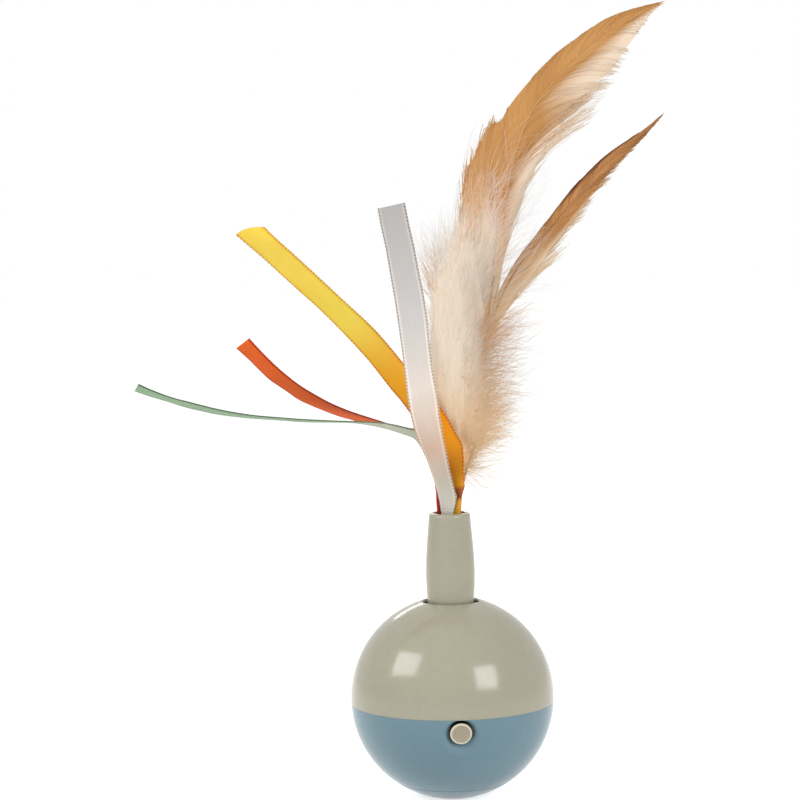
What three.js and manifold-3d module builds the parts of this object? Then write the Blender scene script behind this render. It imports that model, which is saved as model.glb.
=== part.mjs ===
// A cat toy: a weighted ball with a push button, whose motor turns a neck of ribbons and feathers.
// Millimetres, +Z up, front towards -Y. The origin is the middle of the small flat the ball stands on.
import * as THREE from 'three';
import { mergeVertices } from 'three/addons/utils/BufferGeometryUtils.js';
import Module from 'manifold-3d';

const wasm = await Module();
wasm.setup();

// Clearances
const runGap = 0.3; // between pieces that move past each other, and round cut pockets
const fitGap = 0.2; // between pieces that are fixed to each other
const cutOver = 1; // how far a cutting tool runs past the face it cuts
const weldDistance = 1e-4; // corners nearer than this are one corner

// Ball
const ballRadius = 34;
const shellWall = 2;
const standRadius = 7; // the flat the ball stands on
const seamDrop = 1.4; // seam below the ball's middle
const lapHeight = 1.8; // the lower shell's lip inside the upper shell
const lapWall = 0.9;
const openingRadius = 9.3; // round opening for the neck
const openingLip = 0.5; // bevel round the opening

// Battery door and bay
const doorRadius = 19.2;
const doorFloor = 2;
const doorRimHeight = 1.7;
const ledgeWidth = 1.8;
const bayWall = 1.7;
const bayRoof = 1.6;
const shelfWidth = 2;
const doorScrewInset = 3.8; // screw's axis inside the door's edge

// Button cells, side by side in a row along x
const cellRadius = 5.8;
const cellThickness = 5.4;
const cellBevel = 0.35;
const cellCount = 3;
const contactThickness = 0.4;
const contactWidth = 8;
const contactTabWidth = 2;
const contactTabRise = 2.2;
const batterySpringLength = 3.6;
const batterySpringRadius = 3.2;
const batterySpringWire = 0.6;
const batterySpringTurns = 4;
const batteryRibThickness = 1.6;
const batteryRibWidth = 12;

// Ballast ring
const ballastHeight = 8.5;

// Screws
const screwRadius = 0.9;
const screwHeadRadius = 1.9;
const screwHeadHeight = 1.2;
const screwSlotWidth = 0.5;
const screwSlotDepth = 0.5;
const screwCrownShare = 0.7; // flat of the head's crown, of its radius
const bossWall = 1.9;
const wellWall = 1.2; // round the well of a shell screw's head
const coverScrewLength = 7;
const holderScrewLength = 6;
const doorScrewLength = 4.4;
const shellScrewLength = 18;
const neckScrewLength = 8;

// Screw bosses that join the two shells at the back
const shellBossInset = 6.5; // axis inside the wall's inner face, at the ball's middle
const shellBossAngle = 30; // degrees to each side of straight back
const shellBossSplit = 3.5; // faces of the two bosses below the ball's middle
const shellScrewSeat = 14; // head seat below the ball's middle

// Motor, upright on the ball's axis
const motorRadius = 8;
const motorLength = 20;
const canRound = 0.6;
const endCapLength = 2.5;
const terminalHeight = 1.5;
const terminalWidth = 1.6;
const terminalThickness = 0.8;
const terminalOffset = 5;
const motorShaftRadius = 0.75;

// Motor holder and gearbox
const holderWall = 1.5;
const holderFootOffset = 14;
const holderFootHeight = 6;
const holderFootThickness = 2;
const holderSkirt = 1.3;
const plateThickness = 2;
const plateRadius = 16.8;
const plateOffset = 6.3; // plate's middle, behind the ball's axis
const pillarRadius = 2.2;
const frontPillarX = 12.2;
const frontPillarY = -2;
const rearPillarX = 13.2;
const rearPillarY = 12.5;

// Gears
const gearModule = 0.5;
const pinionTeeth = 10;
const idlerTeeth = 40;
const idlerSmallTeeth = 14;
const outputTeeth = 36;
const pinionHeight = 3.8;
const idlerThickness = 2.2;
const outputThickness = 2.6;
const idlerPinRadius = 0.75;
const pinSocketDepth = 1.5; // of the pin's lower socket, in the plate

// Bearing and neck
const hubRadius = 3.2;
const bearingWall = 1.9;
const bearingHeight = 6;
const washerThickness = 0.5;
const neckTopZ = 95.5;
const neckTopRadius = 6.85;
const neckWidestRadius = 8.25;
const neckBaseRadius = 7.4;
const neckRimRound = 0.7;
const boreRadius = 5.2;
const boreDepth = 25.5;
const neckFloor = 3.5;
const plugLength = 11;
const rootPocketDepth = 5;

// Push button, on its own axis through the ball's middle
const buttonTurn = 3.7; // degrees to the right of straight ahead
const buttonDrop = 10.2; // degrees below level
const buttonRadius = 3.75;
const buttonHoleRadius = 4.15;
const buttonRound = 0.6;
const buttonFlangeRadius = 5.1;
const buttonFlangeThickness = 1;
const buttonStemRadius = 1.6;
const buttonStemLength = 2.8;
const buttonTravel = 1.5;
const dishRadius = 6.6;
const dishDepth = 1.1;
const dishDrop = 12.8; // degrees below level

// Switch and its board, square to the button's axis
const plungerWidth = 3;
const plungerReach = 4.2;
const plungerSunk = 2;
const switchSide = 8;
const switchHeight = 7.2;
const boardThickness = 1.2;
const boardWidth = 17;
const boardHeight = 18;
const railHeight = 19;
const railDepth = 4.7;
const railWidth = 2.4;
const railOverlap = 1.3;

// Wires
const leadRadius = 0.5;

// Ribbons: satin, all of one stock
const ribbonWidth = 10;
const ribbonThickness = 0.4;
const pocketGrow = 0.35; // pocket round each root

// Rounded rims have one point between their two ends, this share of the round from the corner
const roundShare = 0.3;

// Number of flats round each kind of turned solid
const ballSides = 40;
const neckSides = 28;
const partSides = 24;
const smallSides = 12;
const screwSides = 8;
const wireSides = 8;

// Levels and places that follow from the sizes above
const innerRadius = ballRadius - shellWall;
const ballCentreZ = Math.sqrt(ballRadius ** 2 - standRadius ** 2);
const seamZ = ballCentreZ - seamDrop;
const lapTopZ = seamZ + lapHeight;
const lapRadius = innerRadius + lapWall;
const bossRadius = screwRadius + bossWall;
const wellRadius = screwHeadRadius + runGap;
const wellBossRadius = wellRadius + wellWall;
const doorEdgeZ = ballCentreZ - Math.sqrt(ballRadius ** 2 - doorRadius ** 2);
const doorTopZ = doorEdgeZ + doorRimHeight;
const ledgeZ = doorTopZ + fitGap;
const bayRadius = doorRadius - ledgeWidth;
const bayOuterRadius = bayRadius + bayWall;
const cellRowLength = cellCount * cellThickness + (cellCount - 1) * fitGap;
const packLength = contactThickness * 2 + batterySpringLength + cellRowLength + fitGap * 3;
const packStartX = -packLength / 2;
const cellStartX = packStartX + contactThickness + batterySpringLength + fitGap * 2;
const cellBottomZ = ballCentreZ - Math.sqrt(innerRadius ** 2 - packStartX ** 2) + runGap;
const cellAxisZ = cellBottomZ + cellRadius;
const bayCeilingZ = cellAxisZ + cellRadius + runGap;
const bayTopZ = bayCeilingZ + bayRoof;
const doorRimInner = bayRadius - fitGap;
const doorScrewOffset = doorRadius - doorScrewInset;
const doorScrewReach = doorScrewOffset + screwHeadRadius;
const doorHeadZ = ballCentreZ - Math.sqrt(ballRadius ** 2 - doorScrewReach ** 2);
const doorSeatZ = doorHeadZ + screwHeadHeight + 2 * fitGap;
const shelfRadius = bayOuterRadius + shelfWidth;
const shelfZ = ballCentreZ - Math.sqrt(innerRadius ** 2 - shelfRadius ** 2);
const ballastBottomZ = shelfZ + fitGap;
const shellBossOffset = innerRadius - shellBossInset;
const shellSplitZ = ballCentreZ - shellBossSplit;
const shellSeatZ = ballCentreZ - shellScrewSeat;
const motorBottomZ = bayTopZ + runGap + terminalHeight;
const motorTopZ = motorBottomZ + motorLength;
const holderBottomZ = motorBottomZ + holderSkirt;
const holderFootZ = bayTopZ + holderFootHeight + fitGap;
const plateBottomZ = motorTopZ + fitGap;
const plateTopZ = plateBottomZ + plateThickness;
const pinionBottomZ = plateTopZ + runGap;
const idlerBottomZ = plateTopZ + 2 * runGap;
const idlerMiddleZ = idlerBottomZ + idlerThickness;
const outputBottomZ = pinionBottomZ + pinionHeight + runGap;
const outputTopZ = outputBottomZ + outputThickness;
const coverBottomZ = outputTopZ + 2 * runGap;
const coverTopZ = coverBottomZ + plateThickness;
const bearingTopZ = coverTopZ + bearingHeight;
const washerBottomZ = bearingTopZ + fitGap;
const neckBottomZ = washerBottomZ + washerThickness + fitGap;
const boreFloorZ = neckTopZ - boreDepth;
const hubTopZ = boreFloorZ - neckFloor - fitGap;
const plugBottomZ = boreFloorZ + screwHeadHeight + 2 * fitGap;
const plugTopZ = plugBottomZ + plugLength;
const rootZ = plugTopZ - rootPocketDepth;
const gearDistance = (gearModule * (pinionTeeth + idlerTeeth)) / 2;
const bearingBore = hubRadius + runGap;
const washerRadius = bearingBore + bearingWall;
const idlerPinBottom = plateTopZ - pinSocketDepth + fitGap;
const idlerPinTop = coverBottomZ + plateThickness / 2;

// Ribs in the battery bay that hold the contact plates: x of their inner faces
const springRibX = packStartX - fitGap;
const flatRibX = packStartX + packLength + fitGap;

// Places along the button's axis, measured from the ball's middle
const flangeTop = Math.sqrt(innerRadius ** 2 - buttonFlangeRadius ** 2) - runGap;
const flangeBottom = flangeTop - buttonFlangeThickness;
const stemEnd = flangeBottom - buttonStemLength;
const plungerTop = stemEnd - runGap;
const switchTop = plungerTop - plungerReach + 2 * runGap;
const switchBottom = switchTop - switchHeight;
const plungerBottom = switchTop - plungerSunk;

const degrees = THREE.MathUtils.degToRad;

// Turns a closed geometry into a solid, with its faces pointing out
function solidOf(geometry) {
  const bare = new THREE.BufferGeometry();
  bare.setAttribute('position', geometry.getAttribute('position'));
  if (geometry.index) bare.setIndex(geometry.index);
  const merged = mergeVertices(bare, weldDistance);
  const places = merged.getAttribute('position').array;
  const corners = merged.index.array;
  const kept = [];
  let volume = 0;
  const a = new THREE.Vector3();
  const b = new THREE.Vector3();
  const c = new THREE.Vector3();
  for (let i = 0; i < corners.length; i += 3) {
    const [p, q, r] = [corners[i], corners[i + 1], corners[i + 2]];
    if (p === q || q === r || r === p) continue;
    kept.push(p, q, r);
    a.fromArray(places, p * 3);
    b.fromArray(places, q * 3);
    c.fromArray(places, r * 3);
    volume += a.dot(b.cross(c));
  }
  if (volume < 0) kept.reverse();
  const mesh = new wasm.Mesh({
    numProp: 3,
    vertProperties: Float32Array.from(places),
    triVerts: Uint32Array.from(kept),
  });
  return new wasm.Manifold(mesh);
}

function geometryOf(solid) {
  const mesh = solid.getMesh();
  const geometry = new THREE.BufferGeometry();
  geometry.setAttribute('position', new THREE.BufferAttribute(mesh.vertProperties, 3));
  geometry.setIndex(new THREE.BufferAttribute(mesh.triVerts, 1));
  geometry.computeVertexNormals();
  return geometry;
}

// A solid turned about z from [radius, height] points
function turned(points, sides) {
  const closed = [...points, points[0]].map(([radius, height]) => new THREE.Vector2(radius, height));
  return new THREE.LatheGeometry(closed, sides).rotateX(Math.PI / 2);
}

function cylinder(radius, bottom, top, sides = smallSides) {
  return turned([[0, bottom], [radius, bottom], [radius, top], [0, top]], sides);
}

function ring(inner, outer, bottom, top, sides = smallSides) {
  return turned([[inner, bottom], [outer, bottom], [outer, top], [inner, top]], sides);
}

// A box given by its lowest and highest corners
function block(x0, x1, y0, y1, z0, z1) {
  const box = new THREE.BoxGeometry(x1 - x0, y1 - y0, z1 - z0);
  return box.translate((x0 + x1) / 2, (y0 + y1) / 2, (z0 + z1) / 2);
}

// Section of a sphere about the ball's middle, from angle to angle off straight down
function sphereArc(radius, from, to, steps) {
  const points = [];
  for (let i = 0; i <= steps; i += 1) {
    const angle = from + ((to - from) * i) / steps;
    points.push([radius * Math.sin(angle), ballCentreZ - radius * Math.cos(angle)]);
  }
  return points;
}

const lowAngle = (radius, width) => Math.asin(width / radius);
const highAngle = (radius, width) => Math.PI - Math.asin(width / radius);
const levelAngle = (radius, z) => Math.acos((ballCentreZ - z) / radius);

// Rotation that turns +z to a direction given by degrees right of front and degrees below level
function aimed(turn, drop) {
  const out = new THREE.Vector3(
    Math.sin(degrees(turn)) * Math.cos(degrees(drop)),
    -Math.cos(degrees(turn)) * Math.cos(degrees(drop)),
    -Math.sin(degrees(drop)),
  );
  const side = new THREE.Vector3(0, 0, 1).cross(out).normalize();
  const up = out.clone().cross(side);
  return new THREE.Matrix4().makeBasis(side, up, out).setPosition(0, 0, ballCentreZ);
}

const buttonFrame = aimed(buttonTurn, buttonDrop);

// A wire along hand-chosen points
function wire(points, radius, steps) {
  const curve = new THREE.CatmullRomCurve3(points.map((p) => new THREE.Vector3(...p)));
  const section = new THREE.Shape();
  for (let i = 0; i < wireSides; i += 1) {
    const angle = (2 * Math.PI * i) / wireSides;
    const place = [radius * Math.cos(angle), radius * Math.sin(angle)];
    if (i === 0) section.moveTo(...place);
    else section.lineTo(...place);
  }
  section.closePath();
  return new THREE.ExtrudeGeometry(section, { steps, extrudePath: curve, bevelEnabled: false });
}

// A flat strand along stations of { at, left, right, thick, turn }: left and right are the widths to
// each side of the middle line, turn is in degrees, 0 when the strand faces the front
function strand(stations, steps) {
  const route = new THREE.CatmullRomCurve3(stations.map((s) => s.at));
  const sizes = new THREE.CatmullRomCurve3(
    stations.map((s) => new THREE.Vector3(s.left, s.right, s.thick)),
  );
  const turns = new THREE.CatmullRomCurve3(stations.map((s) => new THREE.Vector3(s.turn, 0, 0)));
  const depth = new THREE.Vector3(0, 1, 0);
  const places = [];
  const faces = [];
  for (let i = 0; i <= steps; i += 1) {
    const t = i / steps;
    const middle = route.getPoint(t);
    const along = route.getTangent(t);
    const flat = depth.clone().cross(along).normalize();
    const out = flat.clone().cross(along);
    const size = sizes.getPoint(t);
    const turn = degrees(turns.getPoint(t).x);
    const across = flat.multiplyScalar(Math.cos(turn)).addScaledVector(out, Math.sin(turn));
    const normal = along.clone().cross(across).multiplyScalar(size.z / 2);
    for (const [side, face] of [[-size.x, -1], [size.y, -1], [size.y, 1], [-size.x, 1]]) {
      const place = middle.clone().addScaledVector(across, side).addScaledVector(normal, face);
      places.push(place.x, place.y, place.z);
    }
  }
  for (let i = 0; i < steps; i += 1) {
    for (let k = 0; k < 4; k += 1) {
      const a = 4 * i + k;
      const b = 4 * i + ((k + 1) % 4);
      // the two wide faces are split along the same diagonal, so a twist doesn't thin the strand
      if (k < 2) faces.push(a, b, b + 4, a, b + 4, a + 4);
      else faces.push(a, b, a + 4, b, b + 4, a + 4);
    }
  }
  const end = 4 * steps;
  faces.push(0, 2, 1, 0, 3, 2, end, end + 1, end + 2, end, end + 2, end + 3);
  const geometry = new THREE.BufferGeometry();
  geometry.setAttribute('position', new THREE.Float32BufferAttribute(places, 3));
  geometry.setIndex(faces);
  return geometry;
}

// Spur gear outline: straight-sided teeth, thin enough to run with backlash
function gear(teeth, bottom, top, boreRadius) {
  const pitch = (gearModule * teeth) / 2;
  const toothShares = [
    [-1.15, 0.26],
    [0.9, 0.1],
  ]; // height from the pitch circle in modules, half width as a share of the tooth pitch
  const [[rootShare, baseShare], [tipShare, crestShare]] = toothShares;
  const outline = new THREE.Shape();
  for (let i = 0; i < teeth; i += 1) {
    const step = (2 * Math.PI) / teeth;
    const corners = [
      [pitch + rootShare * gearModule, -baseShare],
      [pitch + tipShare * gearModule, -crestShare],
      [pitch + tipShare * gearModule, crestShare],
      [pitch + rootShare * gearModule, baseShare],
    ];
    corners.forEach(([radius, share], k) => {
      const angle = step * (i + share);
      const place = [radius * Math.cos(angle), radius * Math.sin(angle)];
      if (i === 0 && k === 0) outline.moveTo(...place);
      else outline.lineTo(...place);
    });
  }
  outline.closePath();
  if (boreRadius > 0) {
    const bore = new THREE.Path();
    bore.absarc(0, 0, boreRadius, 0, 2 * Math.PI, true);
    outline.holes.push(bore);
  }
  const options = { depth: top - bottom, bevelEnabled: false, curveSegments: screwSides / 2 };
  return new THREE.ExtrudeGeometry(outline, options).translate(0, 0, bottom);
}

// A slotted screw that points down, with the underside of its head at z = 0
function screw(length) {
  const body = turned(
    [
      [0, -length],
      [screwRadius / 2, -length],
      [screwRadius, screwRadius - length],
      [screwRadius, 0],
      [screwHeadRadius, 0],
      [screwHeadRadius, screwHeadHeight / 2],
      [screwHeadRadius * screwCrownShare, screwHeadHeight],
      [0, screwHeadHeight],
    ],
    screwSides,
  );
  const reach = screwHeadRadius + cutOver;
  const half = screwSlotWidth / 2;
  const floor = screwHeadHeight - screwSlotDepth;
  const slot = block(-reach, reach, -half, half, floor, screwHeadHeight + cutOver);
  return solidOf(body).subtract(solidOf(slot));
}

// Materials
const plastic = (color, roughness = 0.3) => new THREE.MeshStandardMaterial({ color, roughness });
const metal = (color, roughness) =>
  new THREE.MeshStandardMaterial({ color, roughness, metalness: 1 });
const greyGreen = () => plastic(0xaaa890, 0.22);
const blue = () => plastic(0x75909c, 0.25);
const nylon = () => plastic(0xe8e4d8, 0.5);
const steel = () => metal(0xb8bcc0, 0.35);
const satin = (color) => new THREE.MeshStandardMaterial({ color, roughness: 0.55 });

const toy = new THREE.Group();
const turret = new THREE.Group(); // what turns with the neck
const buttonGroup = new THREE.Group(); // what lies along the button's axis
buttonGroup.applyMatrix4(buttonFrame);
toy.add(turret, buttonGroup);

function add(name, shape, material, parent = toy) {
  const solid = shape.isBufferGeometry ? solidOf(shape) : shape;
  const mesh = new THREE.Mesh(geometryOf(solid), material);
  mesh.name = name;
  parent.add(mesh);
  return mesh;
}

// Places of the three feet of the motor holder
const holderFeet = [90, 210, 330].map((angle) => [
  holderFootOffset * Math.cos(degrees(angle)),
  holderFootOffset * Math.sin(degrees(angle)),
]);
const shellBosses = [90 - shellBossAngle, 90 + shellBossAngle].map((angle) => [
  shellBossOffset * Math.cos(degrees(angle)),
  shellBossOffset * Math.sin(degrees(angle)),
]);
const pillars = [
  [frontPillarX, frontPillarY],
  [-frontPillarX, frontPillarY],
  [rearPillarX, rearPillarY],
  [-rearPillarX, rearPillarY],
];

// The ball as one solid, half a wall under its surface: what grows from the walls is trimmed to it
function ballCore() {
  const radius = ballRadius - shellWall / 2;
  return solidOf(turned(sphereArc(radius, 0, Math.PI, 14), ballSides));
}

// Upper shell: opening for the neck, recess for the lap and two screw posts at the back
function upperShell() {
  const lipRadius = openingRadius + openingLip;
  const lipZ = ballCentreZ + Math.sqrt(ballRadius ** 2 - lipRadius ** 2);
  const outer = sphereArc(
    ballRadius,
    levelAngle(ballRadius, seamZ + fitGap),
    highAngle(ballRadius, lipRadius),
    9,
  );
  const inner = sphereArc(
    innerRadius,
    highAngle(innerRadius, openingRadius),
    levelAngle(innerRadius, lapTopZ + fitGap),
    6,
  );
  const profile = [
    ...outer,
    [openingRadius, lipZ - openingLip],
    ...inner,
    [lapRadius + fitGap, lapTopZ + fitGap],
    [lapRadius + fitGap, seamZ + fitGap],
  ];
  let shell = solidOf(turned(profile, ballSides));
  for (const [x, y] of shellBosses) {
    const post = cylinder(bossRadius, shellSplitZ + fitGap, ballCentreZ + ballRadius);
    const pilotTop = shellSeatZ + shellScrewLength + runGap;
    const pilot = cylinder(screwRadius + fitGap, shellSplitZ - cutOver, pilotTop, screwSides);
    shell = shell.add(solidOf(post.translate(x, y, 0)).intersect(ballCore()));
    shell = shell.subtract(solidOf(pilot.translate(x, y, 0)));
  }
  return shell;
}

// The button's dish: a shallow spherical scoop whose own axis lies a little lower than the button's
function dishTool() {
  const rimHeight = Math.sqrt(ballRadius ** 2 - dishRadius ** 2);
  const sunk = rimHeight - (ballRadius - dishDepth);
  const radius = (dishRadius ** 2 + sunk ** 2) / (2 * sunk);
  const reach = dishRadius + cutOver;
  const points = [];
  const steps = 5;
  for (let i = 0; i <= steps; i += 1) {
    const out = (reach * i) / steps;
    points.push([out, ballRadius - dishDepth + radius - Math.sqrt(radius ** 2 - out ** 2)]);
  }
  points.push([reach, ballRadius + cutOver], [0, ballRadius + cutOver]);
  return solidOf(turned(points, neckSides).applyMatrix4(aimed(buttonTurn, dishDrop)));
}

// Board in the button's frame, grown by a margin all round
function boardBlock(margin) {
  const top = switchBottom - fitGap + margin;
  const half = boardWidth / 2 + margin;
  const tall = boardHeight / 2 + margin;
  return block(-half, half, -tall, tall, top - boardThickness - 2 * margin, top);
}

// Lower shell: door opening, battery bay, bosses, board rails, dish and button hole
function lowerShell() {
  const holeRadius = doorRadius + fitGap;
  const outer = sphereArc(
    ballRadius,
    levelAngle(ballRadius, seamZ),
    lowAngle(ballRadius, holeRadius),
    7,
  );
  const inner = sphereArc(
    innerRadius,
    lowAngle(innerRadius, shelfRadius),
    levelAngle(innerRadius, lapTopZ),
    5,
  );
  const profile = [
    ...outer,
    [holeRadius, ledgeZ],
    [bayRadius, ledgeZ],
    [bayRadius, bayCeilingZ],
    [0, bayCeilingZ],
    [0, bayTopZ],
    [bayOuterRadius, bayTopZ],
    [bayOuterRadius, shelfZ],
    ...inner,
    [lapRadius, lapTopZ],
    [lapRadius, seamZ],
  ];
  let shell = solidOf(turned(profile, ballSides));

  // bosses for the motor holder
  for (const [x, y] of holderFeet) {
    const boss = cylinder(bossRadius, bayTopZ - bayRoof / 2, bayTopZ + holderFootHeight);
    const hole = cylinder(
      screwRadius + fitGap,
      bayTopZ + holderFootHeight + holderFootThickness - holderScrewLength - runGap,
      bayTopZ + holderFootHeight + cutOver,
      screwSides,
    );
    shell = shell.add(solidOf(boss.translate(x, y, 0)));
    shell = shell.subtract(solidOf(hole.translate(x, y, 0)));
  }

  // bosses for the screws that join the shells
  for (const [x, y] of shellBosses) {
    const boss = cylinder(wellBossRadius, 0, shellSplitZ);
    const hole = cylinder(screwRadius + fitGap, 0, shellSplitZ + cutOver, screwSides);
    const well = cylinder(wellRadius, -cutOver, shellSeatZ, screwSides);
    shell = shell.add(solidOf(boss.translate(x, y, 0)).intersect(ballCore()));
    shell = shell.subtract(solidOf(hole.translate(x, y, 0)));
    shell = shell.subtract(solidOf(well.translate(x, y, 0)));
  }

  // ribs and slots for the battery contacts
  const ribHalf = batteryRibWidth / 2;
  const ribBottom = cellAxisZ - cellRadius / 2;
  const ribTop = bayCeilingZ + bayRoof / 2;
  const ribs = [
    block(springRibX - batteryRibThickness, springRibX, -ribHalf, ribHalf, ribBottom, ribTop),
    block(flatRibX, flatRibX + batteryRibThickness, -ribHalf, ribHalf, ribBottom, ribTop),
  ];
  for (const rib of ribs) shell = shell.add(solidOf(rib));
  const slotHalf = contactTabWidth / 2 + runGap;
  for (const x of [packStartX, packStartX + packLength - contactThickness]) {
    const slot = block(
      x - fitGap,
      x + contactThickness + fitGap,
      -slotHalf,
      slotHalf,
      bayCeilingZ - cutOver,
      bayTopZ + cutOver,
    );
    shell = shell.subtract(solidOf(slot));
  }

  // boss and hole for the door's screw
  const doorBossTop = bayCeilingZ + bayRoof / 2;
  const doorBossBottom = doorTopZ + fitGap;
  const doorBoss = cylinder(bossRadius, doorBossBottom, doorBossTop).translate(0, doorScrewOffset, 0);
  const doorPilot = cylinder(
    screwRadius + fitGap,
    doorBossBottom - cutOver,
    doorSeatZ + doorScrewLength + runGap,
    screwSides,
  ).translate(0, doorScrewOffset, 0);
  shell = shell.add(solidOf(doorBoss)).subtract(solidOf(doorPilot));

  // rails that hold the switch board
  const railInner = boardWidth / 2 - railOverlap;
  const railFront = -Math.sqrt(bayOuterRadius ** 2 - (railInner + railWidth) ** 2);
  const rails = [-1, 1].map((side) => {
    const x = side > 0 ? railInner : -railInner - railWidth;
    const floor = bayTopZ - bayRoof / 2;
    const top = bayTopZ + railHeight;
    const rail = block(x, x + railWidth, railFront, railFront + railDepth, floor, top);
    return rail.rotateZ(degrees(buttonTurn));
  });
  const boardSlot = solidOf(boardBlock(runGap).applyMatrix4(buttonFrame));
  for (const rail of rails) shell = shell.add(solidOf(rail).subtract(boardSlot));

  // dish and hole of the button
  const hole = cylinder(buttonHoleRadius, innerRadius - shellWall, ballRadius + cutOver, neckSides);
  shell = shell.subtract(dishTool());
  return shell.subtract(solidOf(hole.applyMatrix4(buttonFrame)));
}

// Battery door: a cap of the ball with the standing flat, screwed on near its back edge
function batteryDoor() {
  const outer = sphereArc(
    ballRadius,
    lowAngle(ballRadius, standRadius),
    lowAngle(ballRadius, doorRadius),
    5,
  );
  const innerFlat = Math.sqrt(innerRadius ** 2 - (ballCentreZ - doorFloor) ** 2);
  const inner = sphereArc(
    innerRadius,
    lowAngle(innerRadius, doorRimInner),
    lowAngle(innerRadius, innerFlat),
    4,
  );
  const profile = [
    [0, 0],
    ...outer,
    [doorRadius, doorTopZ],
    [doorRimInner, doorTopZ],
    ...inner,
    [0, doorFloor],
  ];
  const pad = cylinder(bossRadius, ballCentreZ - innerRadius, doorTopZ).translate(0, doorScrewOffset, 0);
  const hole = cylinder(screwRadius + fitGap, 0, doorTopZ + cutOver, screwSides);
  const well = cylinder(wellRadius, -cutOver, doorSeatZ, screwSides);
  return solidOf(turned(profile, ballSides))
    .add(solidOf(pad).intersect(ballCore()))
    .subtract(solidOf(hole.translate(0, doorScrewOffset, 0)))
    .subtract(solidOf(well.translate(0, doorScrewOffset, 0)));
}

function ballastRing() {
  const radius = innerRadius - runGap;
  const topZ = ballastBottomZ + ballastHeight;
  const outer = sphereArc(radius, levelAngle(radius, ballastBottomZ), levelAngle(radius, topZ), 4);
  const inside = bayOuterRadius + fitGap;
  const profile = [[inside, ballastBottomZ], ...outer, [inside, topZ]];
  let body = solidOf(turned(profile, ballSides));
  for (const [x, y] of shellBosses) {
    const notch = cylinder(wellBossRadius + runGap, ballastBottomZ - cutOver, topZ + cutOver);
    body = body.subtract(solidOf(notch.translate(x, y, 0)));
  }
  return body;
}

add('upper_shell', upperShell(), greyGreen());
add('lower_shell', lowerShell(), blue());
add('battery_door', batteryDoor(), blue());
const doorScrew = add('door_screw', screw(doorScrewLength), steel());
doorScrew.rotation.x = Math.PI;
doorScrew.position.set(0, doorScrewOffset, doorSeatZ - fitGap);
add('ballast_ring', ballastRing(), metal(0x8a8d90, 0.5));

// Button cells, their spring and contact plates
for (let i = 0; i < cellCount; i += 1) {
  const x = cellStartX + i * (cellThickness + fitGap);
  const profile = [
    [0, 0],
    [cellRadius - cellBevel, 0],
    [cellRadius, cellBevel],
    [cellRadius, cellThickness],
    [0, cellThickness],
  ];
  const cell = turned(profile, partSides).rotateY(Math.PI / 2).translate(x, 0, cellAxisZ);
  add(`battery_cell_${i + 1}`, cell, steel());
}

// A coil whose end turns lie flat, as one tube
function coil(radius, wireRadius, length, turns) {
  const perTurn = 8;
  const steps = perTurn * turns;
  const rise = length - 2 * wireRadius;
  const points = [];
  for (let i = 0; i <= steps; i += 1) {
    const angle = (2 * Math.PI * i) / perTurn;
    points.push([radius * Math.cos(angle), radius * Math.sin(angle), wireRadius + (rise * i) / steps]);
  }
  return wire(points, wireRadius, steps);
}

const springWireRadius = batterySpringWire / 2;
const batterySpring = coil(
  batterySpringRadius,
  springWireRadius,
  batterySpringLength - 2 * fitGap,
  batterySpringTurns,
);
batterySpring.rotateY(Math.PI / 2);
batterySpring.translate(packStartX + contactThickness + fitGap * 2, 0, cellAxisZ);
add('battery_spring', batterySpring, metal(0xd8d8d8, 0.2));

function contactPlate(x) {
  const half = contactWidth / 2;
  const tabHalf = contactTabWidth / 2;
  const plate = block(
    x,
    x + contactThickness,
    -half,
    half,
    cellAxisZ - cellRadius / 2,
    bayCeilingZ - fitGap,
  );
  const tab = block(
    x,
    x + contactThickness,
    -tabHalf,
    tabHalf,
    cellAxisZ,
    bayTopZ + contactTabRise,
  );
  return solidOf(plate).add(solidOf(tab));
}

add('spring_contact', contactPlate(packStartX), metal(0xd0d0c8, 0.3));
add('flat_contact', contactPlate(packStartX + packLength - contactThickness), metal(0xd0d0c8, 0.3));

// Motor: can, end cap with two terminals, shaft and pinion
const canBottomZ = motorBottomZ + endCapLength;
add(
  'motor_can',
  turned(
    [
      [motorShaftRadius + runGap, canBottomZ + fitGap],
      [motorRadius, canBottomZ + fitGap],
      [motorRadius, motorTopZ - canRound],
      [motorRadius - canRound, motorTopZ],
      [motorShaftRadius + runGap, motorTopZ],
    ],
    partSides,
  ),
  steel(),
);

function motorEndCap() {
  const bore = motorShaftRadius + runGap;
  let cap = solidOf(ring(bore, motorRadius, motorBottomZ, canBottomZ, partSides));
  const half = terminalWidth / 2;
  const thin = terminalThickness / 2;
  const low = motorBottomZ - terminalHeight;
  const high = motorBottomZ + endCapLength / 2;
  for (const x of [-terminalOffset, terminalOffset]) {
    cap = cap.add(solidOf(block(x - thin, x + thin, -half, half, low, high)));
  }
  return cap;
}

add('motor_end_cap', motorEndCap(), plastic(0x2b2b2d, 0.5));
add(
  'motor_shaft',
  cylinder(
    motorShaftRadius,
    motorBottomZ + endCapLength / 2,
    pinionBottomZ + pinionHeight - runGap,
    screwSides,
  ),
  steel(),
);
add(
  'motor_pinion',
  gear(pinionTeeth, pinionBottomZ, pinionBottomZ + pinionHeight, motorShaftRadius + fitGap),
  metal(0xc9a45c, 0.35),
);

// Motor holder: a tube round the motor with three feet, and the gearbox's lower plate
function plateDisc(bottom, top) {
  return solidOf(cylinder(plateRadius, bottom, top, neckSides).translate(0, plateOffset, 0));
}

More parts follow.
